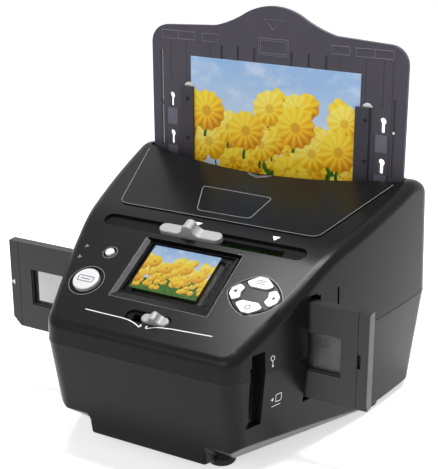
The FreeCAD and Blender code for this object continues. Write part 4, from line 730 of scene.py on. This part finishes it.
# Operators, one for each piece or group of like pieces


def print_ink():
    """White ink of the printed marks, made once."""
    looks = bpy.context.scene.scanner_finishes
    return bpy.data.materials.get("mark_white") or satin("mark_white", solid(looks.marks), 0.5)


def highlight_and_outline_grey():
    """Lighter grey of the label's outline and of the painted highlights on rims and edges, made once."""
    looks = bpy.context.scene.scanner_finishes
    # Painted highlight: besides the label's outline, this grey marks where rims and edges catch light
    return bpy.data.materials.get("edge_grey") or satin("edge_grey", solid(looks.edges), 0.35)


class SCANNER_OT_housing(bpy.types.Operator):
    """Finish the two moulded shells, their seam, the rubber feet and the screws"""

    bl_idname = "scanner.housing"
    bl_label = "Housing"

    def execute(self, context):
        looks, sizes = context.scene.scanner_finishes, context.scene.scanner_marks
        shell = shell_plastic("housing_charcoal", solid(looks.housing), looks.housing_roughness)
        dress(shell, "upper_housing", "lower_housing")
        dress(rubber("foot_rubber", (0.006, 0.006, 0.0065, 1.0)), "rubber_feet")
        steel = metal("screw_steel", (0.55, 0.55, 0.56, 1.0), 0.32)
        dress(steel, "case_screws", "carriage_rods", "holder_hinge_pins")
        just_below_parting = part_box("lower_housing")[1].z - 0.0003
        groove = seam("lower_housing", just_below_parting, sizes.seam_width)
        seam_black = gloss("seam_black", (0.002, 0.002, 0.002, 1.0), 0.5)
        settle(groove, "shell_seam", seam_black, "housing")
        return {"FINISHED"}


class SCANNER_OT_label(bpy.types.Operator):
    """Make the outline of the bare label, a painted highlight along the border of the raised field and the
    arrow at the mouth, whose lighter grey is painted highlight too
    """

    bl_idname = "scanner.label"
    bl_label = "Label and Field"

    def execute(self, context):
        sizes = context.scene.scanner_marks
        raised = 0.9
        corners = ((-27.6, 48.4), (24.6, 47.4), (21.9, 20.3), (-16.3, 19.9))
        label = lay(line(rounded(corners, 3.2), sizes.line_width, 0.1, True), CROWN, w=raised)
        settle(label, "label_outline", highlight_and_outline_grey(), "housing")
        # Painted highlight: a lighter line along the raised field's edge stands in for the light that the
        # step catches
        border = ((-92.7, 85.0), (-71.8, 13.6), (71.8, 13.6), (92.7, 85.0))
        lower_bends = rounded(border, 5.4)[5:15]
        field = lay(line([border[0], *lower_bends, border[3]], 0.5, 0.12), CROWN, w=raised - 0.04)
        settle(field, "field_border", highlight_and_outline_grey(), "housing")
        # The chevrons stand out of the lip, and their lighter grey is painted highlight
        chevrons = []
        for drop in (0, 1.6):
            corners = [(-9 + drop, 74.6 - drop), (0, 71.4 - drop), (9 - drop, 74.6 - drop)]
            chevrons.append(line(corners, 0.5, 0.25))
        mark = lay(joined(chevrons), CROWN, u=2.0, v=-1.5, w=raised)
        settle(mark, "mouth_chevrons", highlight_and_outline_grey(), "housing")
        return {"FINISHED"}


class SCANNER_OT_slider_marks(bpy.types.Operator):
    """Make the triangles of the long slot, and the lines and arrows of the short one"""

    bl_idname = "scanner.slider_marks"
    bl_label = "Slider Marks"

    def execute(self, context):
        sizes = context.scene.scanner_marks
        triangle = circle(sizes.arrow, 3, turned=180)
        for name, u in (("left", -7.5), ("right", 47.4)):
            mark = lay(plate(triangle, 0.3, 0.4), CROWN, u=u, v=6.2, w=-0.15)
            settle(mark, f"slot_triangle_{name}", print_ink(), "housing")
        leaders = (
            ("left", [(-43.3, 14.9), (-17.0, 14.7)], [(-16.0, 14.6), (-8.0, 13.4), (-2.6, 11.0)], -2.1),
            ("right", [(44.6, 16.4), (16.5, 14.8)], [(14.0, 14.4), (7.0, 13.1), (2.6, 11.0)], 2.1),
        )
        for name, straight, bend, end in leaders:
            path = [*straight, *arc(*bend, 6), (end, 11.3), (end, 12.4)]
            pieces = [line(path, sizes.line_width, sizes.print_proud)]
            pieces.append(plate(circle(1.0, 3, end, 12.4), sizes.print_proud))
            mark = lay(joined(pieces), PANEL)
            settle(mark, f"leader_{name}", print_ink(), "housing")
        return {"FINISHED"}


class SCANNER_OT_rims(bpy.types.Operator):
    """Make the painted highlights: lighter rims round the two buttons and the key well, and lighter lines
    along the edges of the display's recess
    """

    bl_idname = "scanner.rims"
    bl_label = "Rims"

    def execute(self, context):
        sizes = context.scene.scanner_marks
        # Painted highlight: the lighter rings round the buttons' dishes and the key well stand in for the
        # light on their edges
        for name, middle, radius in (("scan", SCAN_MIDDLE, 11.6), ("power", POWER_MIDDLE, 4.8)):
            ring = lay(line(circle(radius, 48), sizes.rim_width, 0.12, True), PANEL, *middle)
            settle(ring, f"{name}_rim", highlight_and_outline_grey(), "housing")
        well = lay(line(bulged(18.3, 16.0, 0.62, 8), sizes.rim_width, 0.12, True), PANEL, *KEYS_MIDDLE)
        settle(well, "key_well_rim", highlight_and_outline_grey(), "housing")
        # Painted highlight: a lighter line along the recess's edges stands in for the light they catch
        recess = [(-34.6, 79.0), (-34.6, 28.7), (34.6, 28.7), (34.6, 79.3), (31.0, 79.3)]
        edge = lay(line(recess, 0.4, 0.1), PANEL)
        settle(edge, "recess_edge", highlight_and_outline_grey(), "housing")
        return {"FINISHED"}


class SCANNER_OT_tray(bpy.types.Operator):
    """Finish the photo tray, its guides, its channels and the print"""

    bl_idname = "scanner.tray"
    bl_label = "Photo Tray"

    def execute(self, context):
        looks = context.scene.scanner_finishes
        dress(moulded("tray_slate", solid(looks.tray), 0.5, spread=0.06), "photo_tray")
        dress(moulded("guide_slate", shade(looks.tray, 0.62), 0.45, spread=0.06), "photo_guides")
        low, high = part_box("photo_print")
        dress(picture_print("print_meadow", (low.x + high.x) / 2, high.z - 0.105, 0.105), "photo_print")
        return {"FINISHED"}


class SCANNER_OT_tray_marks(bpy.types.Operator):
    """Make the moulded frames and ribs of the photo tray, lighter as painted highlight, and the pins of its
    guides
    """

    bl_idname = "scanner.tray_marks"
    bl_label = "Tray Mouldings"

    def execute(self, context):
        looks, sizes = context.scene.scanner_finishes, context.scene.scanner_marks
        # Painted highlight: the ribs are a lighter copy of the tray's plastic, for the light on their edges
        rib = moulded("rib_slate", shade(looks.tray, 2.6), 0.4)
        foot, head = 227.6, 233.0
        outlines = [[(-7.3, 246.0), (7.3, 246.0), (0.0, 239.2)]]
        outlines.append(block(-11.0, 11.0, 222.4, 233.5))
        outlines.append(block(-9.6, 9.6, 223.8, 232.1))
        for left, right in ((-86.8, -60.3), (-54.3, -41.9), (42.2, 54.9), (59.4, 85.2)):
            outlines.append(block(left, right, foot, head))
        pieces = [line(outline, sizes.rib_width, sizes.rib_proud, True) for outline in outlines]
        for u in (-73.4, 72.3):
            pieces.append(line([(u, foot), (u, head)], sizes.rib_width, sizes.rib_proud))
        settle(lay(joined(pieces), TRAY), "tray_frames", rib, "tray")
        dark = moulded("rib_shadow", shade(looks.tray, 0.4), 0.5)
        feet = {-79.7: 196.0, -67.3: 197.5, -48.3: 217.5, 48.5: 217.5, 66.7: 197.5, 78.9: 196.0, 85.3: 150.0}
        pieces = [line([(u, low), (u, 226.5)], 0.45, 0.08) for u, low in feet.items()]
        pieces += [line([(u, 110.0), (u, 178.0)], 0.45, 0.08) for u in (-84.4, -74.0, 74.0, 84.2)]
        settle(lay(joined(pieces), TRAY), "tray_lines", dark, "tray")
        band = moulded("band_slate", shade(looks.tray, 2.3), 0.45)
        pieces = []
        for u in (-79.0, 79.0):
            for low, high in ((166.5, 178.0), (118.0, 151.0)):
                pieces.append(plate(block(u - 4.0, u + 4.0, low, high), 0.12))
        settle(lay(joined(pieces), TRAY), "tray_bands", band, "tray")
        pieces = []
        for u in (-65.4, 68.6):
            crescent = arc((u - 3.6, 195.6), (u, 198.2), (u + 3.6, 195.6), 8)
            pieces.append(plate(crescent, 0.1))
        pieces.append(plate(circle(0.9, 12, 87.3, 180.4), 0.1))
        settle(lay(joined(pieces), TRAY), "tray_crescents", print_ink(), "tray")
        guides = Ground((SHIFT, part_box("photo_guides")[0].y, 0.0), (1, 0, 0), (0, 0, 1))
        pieces = []
        for u, v in ((-65.3, 186.8), (-65.3, 158.7), (68.4, 187.2), (69.0, 159.8)):
            pieces.append(plate(circle(1.2, 16, u, v), 0.3))
        pin = gloss("pin_black", (0.003, 0.003, 0.003, 1.0), 0.3)
        settle(lay(joined(pieces), guides, w=-0.25), "guide_pins", pin, "tray")
        return {"FINISHED"}


class SCANNER_OT_holder(bpy.types.Operator):
    """Finish the film holder and the film strip, and make the holder's triangle and the painted highlight
    along its right end
    """

    bl_idname = "scanner.holder"
    bl_label = "Film Holder"

    def execute(self, context):
        looks, sizes = context.scene.scanner_finishes, context.scene.scanner_marks
        dress(self.plastic(solid(looks.holder)), "film_holder_base", "film_holder_cover")
        dress(self.film(), "film_strip")
        triangle = lay(plate(circle(2.1, 3, turned=90), sizes.print_proud), HOLDER, -129.2, 73.9)
        settle(triangle, "holder_triangle", print_ink(), "holder")
        # Painted highlight: a lighter line up the holder's right end stands in for the light on that edge
        low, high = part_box("film_holder_base")
        bottom, top = low.z * 1000 + 3.0, high.z * 1000 - 1.0
        edge = lay(line([(130.9, bottom), (130.9, top)], 0.5, 0.2), HOLDER)
        settle(edge, "holder_edge", highlight_and_outline_grey(), "holder")
        return {"FINISHED"}

    def plastic(self, colour):
        """Black moulded plastic, with a painted highlight: a lighter grey on the right end face."""
        paint = Paint("holder_black")
        fine = paint.noise(GRAIN, 3.0, 0.6)
        x, _, _ = paint.place.parts()
        tone = paint.mix(fine.eased(0.35, 0.75) * 0.35, shade(colour, 0.95), shade(colour, 1.35))
        # Painted highlight: past 130.6 mm across, the right end face is a lighter grey for the light it
        # catches
        tone = paint.mix(x.eased(0.1306, 0.1311), tone, (0.05, 0.05, 0.052, 1.0))
        normal = paint.bump(fine, 0.35, GRAIN_DEPTH)
        sheen = 0.38 + 0.06 * fine
        return paint.close(base_color=tone, roughness=sheen, normal=normal, specular_ior_level=0.3)

    def film(self):
        """Developed film, clear in places and grey in others."""
        paint = Paint("film_grey")
        grey = paint.noise(0.02, 3.0)
        tone = paint.ramp(grey, (0.35, (0.05, 0.05, 0.052)), (0.7, (0.16, 0.16, 0.165)))
        return paint.close(base_color=tone, roughness=0.25, alpha=0.38 + 0.25 * grey, specular_ior_level=0.3)


class SCANNER_OT_keys(bpy.types.Operator):
    """Finish the buttons, the four keys, the two slider knobs and the status lenses"""

    bl_idname = "scanner.keys"
    bl_label = "Keys and Knobs"

    def execute(self, context):
        looks = context.scene.scanner_finishes
        silver = satin("key_silver", solid(looks.keys), 0.42, 0.15)
        dress(silver, "scan_button", "power_button", "upper_key", "lower_key", "left_key", "right_key")
        dress(satin("knob_silver", shade(looks.keys, 0.52), 0.36), "mode_knob", "focus_knob")
        dress(satin("lens_smoke", (0.12, 0.12, 0.125, 1.0), 0.25), "status_lenses")
        return {"FINISHED"}


class SCANNER_OT_key_marks(bpy.types.Operator):
    """Make the plain symbols on the scan button and the four keys"""

    bl_idname = "scanner.key_marks"
    bl_label = "Key Symbols"

    def execute(self, context):
        ink = moulded("symbol_grey", (0.02, 0.02, 0.021, 1.0), 0.6)
        frame_path = rounded(block(-5.4, 5.4, -2.1, 2.1), 0.8, 3)
        scan = [line(frame_path, 0.55, 0.06, True), line([(-3.4, 0.0), (3.4, 0.0)], 0.6, 0.06)]
        bars = [line([(-2.8, v), (2.8, v)], 0.65, 0.06) for v in (-1.3, 0.0, 1.3)]
        ring = [line(circle(1.6, 20), 0.6, 0.06, True)]
        button_proud, key_proud = 1.7, 1.1
        u, v = KEYS_MIDDLE
        symbols = (
            ("scan", scan, *SCAN_MIDDLE, button_proud, "scan_press_piece"),
            ("upper", bars, u, v + 9.8, key_proud, "upper_key_piece"),
            ("lower", ring, u, v - 9.8, key_proud, "lower_key_piece"),
            ("left", [plate(circle(1.7, 3, turned=90), 0.05)], u - 12.5, v, key_proud, "left_key_piece"),
            ("right", [plate(circle(1.7, 3, turned=-90), 0.05)], u + 12.5, v, key_proud, "right_key_piece"),
        )
        for name, pieces, across, up, proud, body in symbols:
            mark = lay(joined(pieces), PANEL, across, up, proud)
            settle(mark, f"{name}_symbol", ink, body)
        return {"FINISHED"}


class SCANNER_OT_ports(bpy.types.Operator):
    """Finish the sockets in the side recess and make the plain marks beside them"""

    bl_idname = "scanner.ports"
    bl_label = "Ports"

    def execute(self, context):
        sizes = context.scene.scanner_marks
        dress(moulded("socket_black", (0.004, 0.004, 0.004, 1.0), 0.45), "card_socket")
        tin = metal("socket_tin", (0.3, 0.3, 0.3, 1.0), 0.4, (1, 1, 0.1))
        dress(tin, "usb_socket", "gate_spring")
        upper = ground_on("upper_housing", (0.2, -0.070, 0.0772), (-1, 0, 0))
        pieces = [
            line(circle(1.5, 16, 0.0, 1.6), 0.5, sizes.print_proud, True),
            line([(0.0, 0.0), (0.0, -3.0)], 0.5, sizes.print_proud),
            plate(circle(0.75, 12, 0.0, -3.2), sizes.print_proud),
        ]
        settle(lay(joined(pieces), upper), "port_mark_upper", print_ink(), "housing")
        lower = ground_on("lower_housing", (0.2, -0.0648, 0.0508), (-1, 0, 0))
        pieces = [
            plate(circle(1.4, 3, -3.4, 0.2, 90), sizes.print_proud),
            line(rounded(block(-0.6, 4.0, -2.2, 2.6), 0.6, 2), 0.5, sizes.print_proud, True),
            line([(-3.6, -4.6), (3.6, -4.6)], 0.45, sizes.print_proud),
        ]
        settle(lay(joined(pieces), lower), "port_mark_lower", print_ink(), "housing")
        return {"FINISHED"}


class SCANNER_OT_display(bpy.types.Operator):
    """Finish the bezel, the window and the lit picture of the display"""

    bl_idname = "scanner.display"
    bl_label = "Display"

    def execute(self, context):
        looks = context.scene.scanner_finishes
        dress(gloss("bezel_black", (0.003, 0.003, 0.0034, 1.0), 0.3, 0.06), "display_bezel")
        dress(self.window(), "display_window")
        dress(gloss("cell_black", (0.003, 0.003, 0.0035, 1.0), 0.3), "display_module")
        low, high = (-27.9, 40.8), (19.6, 76.8)
        cell = lay(plate(block(low[0], high[0], low[1], high[1]), 0.12, 0.0), PANEL, w=-3.72)
        lit = lit_display("display_lit", PANEL, low, high, looks.display_light)
        settle(cell, "display_cell", lit, "housing")
        return {"FINISHED"}

    def window(self):
        """Clear glass, hardly seen, with a faint skin."""
        paint = Paint("window_glass")
        skin = paint.noise(0.003, 2.0)
        return paint.close(
            base_color=(0.01, 0.01, 0.012, 1.0), roughness=0.04 + 0.03 * skin, alpha=0.05 + 0.01 * skin,
            specular_ior_level=0.1,
        )


class SCANNER_OT_insides(bpy.types.Operator):
    """Finish the boards, the back light, the lens and the film gate"""

    bl_idname = "scanner.insides"
    bl_label = "Insides"

    def execute(self, context):
        looks = context.scene.scanner_finishes
        black = moulded("inner_black", (0.006, 0.006, 0.006, 1.0), 0.6)
        dress(black, "film_gate", "tray_rails", "lens_bracket", "lens_barrel")
        dress(black, "backlight_carriage", "focus_lever")
        dress(circuit("board_green", solid(looks.board)), "camera_board")
        dark_board = circuit("board_black", (0.0012, 0.0014, 0.0012, 1.0))
        dress(dark_board, "key_board", "main_board", "backlight_board")
        dress(circuit("lamp_board_white", (0.6, 0.6, 0.58, 1.0)), "photo_lights")
        dress(satin("diffuser_white", (0.85, 0.85, 0.83, 1.0), 0.5), "backlight_diffuser")
        return {"FINISHED"}


class SCANNER_OT_studio(bpy.types.Operator):
    """Make the floor, the lamps, the white background and the camera"""

    bl_idname = "scanner.studio"
    bl_label = "Studio"

    def execute(self, context):
        looks = context.scene.scanner_studio
        scene = context.scene
        clear_selection()
        bpy.ops.mesh.primitive_plane_add(size=16.0, location=(0, 0, 0))
        floor = context.object
        floor.name = "floor"
        floor.data.materials.append(self.floor_material(looks.floor_colour))
        self.key_lamp(looks.key_power)
        self.front_light(looks.fill)
        self.background(scene)
        self.camera(scene, looks)
        scene.view_settings.view_transform = "Standard"
        return {"FINISHED"}

    def floor_material(self, colour):
        """Pale floor that shows as white to the camera where no shadow falls."""
        paint = Paint("floor_pale")
        speck = paint.noise(0.01, 3.0)
        tone = paint.mix(speck * 0.04, solid(colour), shade(colour, 0.95))
        glow = paint.mix(seen_ray(paint), BLACK, (0.62, 0.62, 0.62, 1.0))
        return paint.close(
            base_color=tone, roughness=0.9, specular_ior_level=0.0, emission_color=glow, emission_strength=1.0
        )

    def key_lamp(self, power):
        """Long soft box over the scanner, which the right part of the panel mirrors."""
        place, aim = Vector((0.08, 0.05, 0.95)), Vector((0.08, 0.03, 0.115))
        clear_selection()
        bpy.ops.object.light_add(type="AREA", location=place)
        lamp = bpy.context.object
        lamp.name = "key"
        lamp.data.shape = "RECTANGLE"
        lamp.data.size, lamp.data.size_y = 0.84, 0.18
        lamp.data.energy = power
        lamp.rotation_mode = "QUATERNION"
        lamp.rotation_quaternion = (aim - place).to_track_quat("-Z", "Y")

    def front_light(self, strength):
        """Wide light from the front."""
        clear_selection()
        turn = (math.radians(65), 0, math.radians(-8))
        bpy.ops.object.light_add(type="SUN", location=(0.3, -0.8, 1.5), rotation=turn)
        sun = bpy.context.object
        sun.name = "wide_front"
        sun.data.energy = strength
        sun.data.angle = math.radians(45)

    def background(self, scene):
        """White to the camera and to mirrors and glass, and a soft grey light to all else."""
        scene.world = bpy.data.worlds.new("studio_white")
        world = Nodes(scene.world)
        sockets = {"Value": seen_ray(world), "To Min": 0.24, "To Max": 1.0}
        level = world.node("ShaderNodeMapRange", {}, sockets)
        light = world.node("ShaderNodeBackground", {}, {"Color": WHITE, "Strength": level})
        world.node("ShaderNodeOutputWorld", {}, {"Surface": light})

    def camera(self, scene, looks):
        """The photograph's camera."""
        clear_selection()
        bpy.ops.object.camera_add(location=looks.camera_place)
        camera = bpy.context.object
        camera.name = "photo_camera"
        camera.data.lens = looks.lens
        camera.data.sensor_width = 36.0
        level = math.cos(looks.camera_elevation)
        across, along = math.sin(looks.camera_azimuth), math.cos(looks.camera_azimuth)
        back = Vector((across * level, -along * level, math.sin(looks.camera_elevation)))
        camera.rotation_mode = "QUATERNION"
        roll = Quaternion((0, 0, 1), looks.camera_roll)
        camera.rotation_quaternion = (-back).to_track_quat("-Z", "Y") @ roll
        camera.data.clip_start = 0.01
        camera.data.clip_end = 50.0
        scene.camera = camera


def seen_ray(nodes):
    """1 for rays from the camera, a mirror or glass, and 0 for the rest."""
    names = ("Is Camera Ray", "Is Glossy Ray", "Is Transmission Ray")
    camera, glossy, through = nodes.node("ShaderNodeLightPath", {}, {}, *names)
    return camera | glossy | through


class SCANNER_PT_panel(bpy.types.Panel):
    """Lists the operators in the order in which they are used."""

    bl_label = "Scanner"
    bl_idname = "SCANNER_PT_panel"
    bl_space_type = "VIEW_3D"
    bl_region_type = "UI"
    bl_category = "Scanner"

    def draw(self, context):
        for operator in OPERATORS:
            self.layout.operator(operator.bl_idname)


GROUPS = {
    "scanner_finishes": ScannerFinishes,
    "scanner_marks": ScannerMarks,
    "scanner_studio": ScannerStudio,
}
OPERATORS = (
    SCANNER_OT_housing,
    SCANNER_OT_label,
    SCANNER_OT_slider_marks,
    SCANNER_OT_rims,
    SCANNER_OT_tray,
    SCANNER_OT_tray_marks,
    SCANNER_OT_holder,
    SCANNER_OT_keys,
    SCANNER_OT_key_marks,
    SCANNER_OT_ports,
    SCANNER_OT_display,
    SCANNER_OT_insides,
    SCANNER_OT_studio,
)


def register():
    for kind in (*GROUPS.values(), *OPERATORS, SCANNER_PT_panel):
        bpy.utils.register_class(kind)
    for name, kind in GROUPS.items():
        setattr(bpy.types.Scene, name, bpy.props.PointerProperty(type=kind))


def unregister():
    for name in GROUPS:
        delattr(bpy.types.Scene, name)
    for kind in reversed((*GROUPS.values(), *OPERATORS, SCANNER_PT_panel)):
        bpy.utils.unregister_class(kind)


def main():
    """Registers the add-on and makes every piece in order."""
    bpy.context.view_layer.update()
    register()
    for operator in OPERATORS:
        section, name = operator.bl_idname.split(".")
        getattr(getattr(bpy.ops, section), name)()


if __name__ == "__main__":
    main()
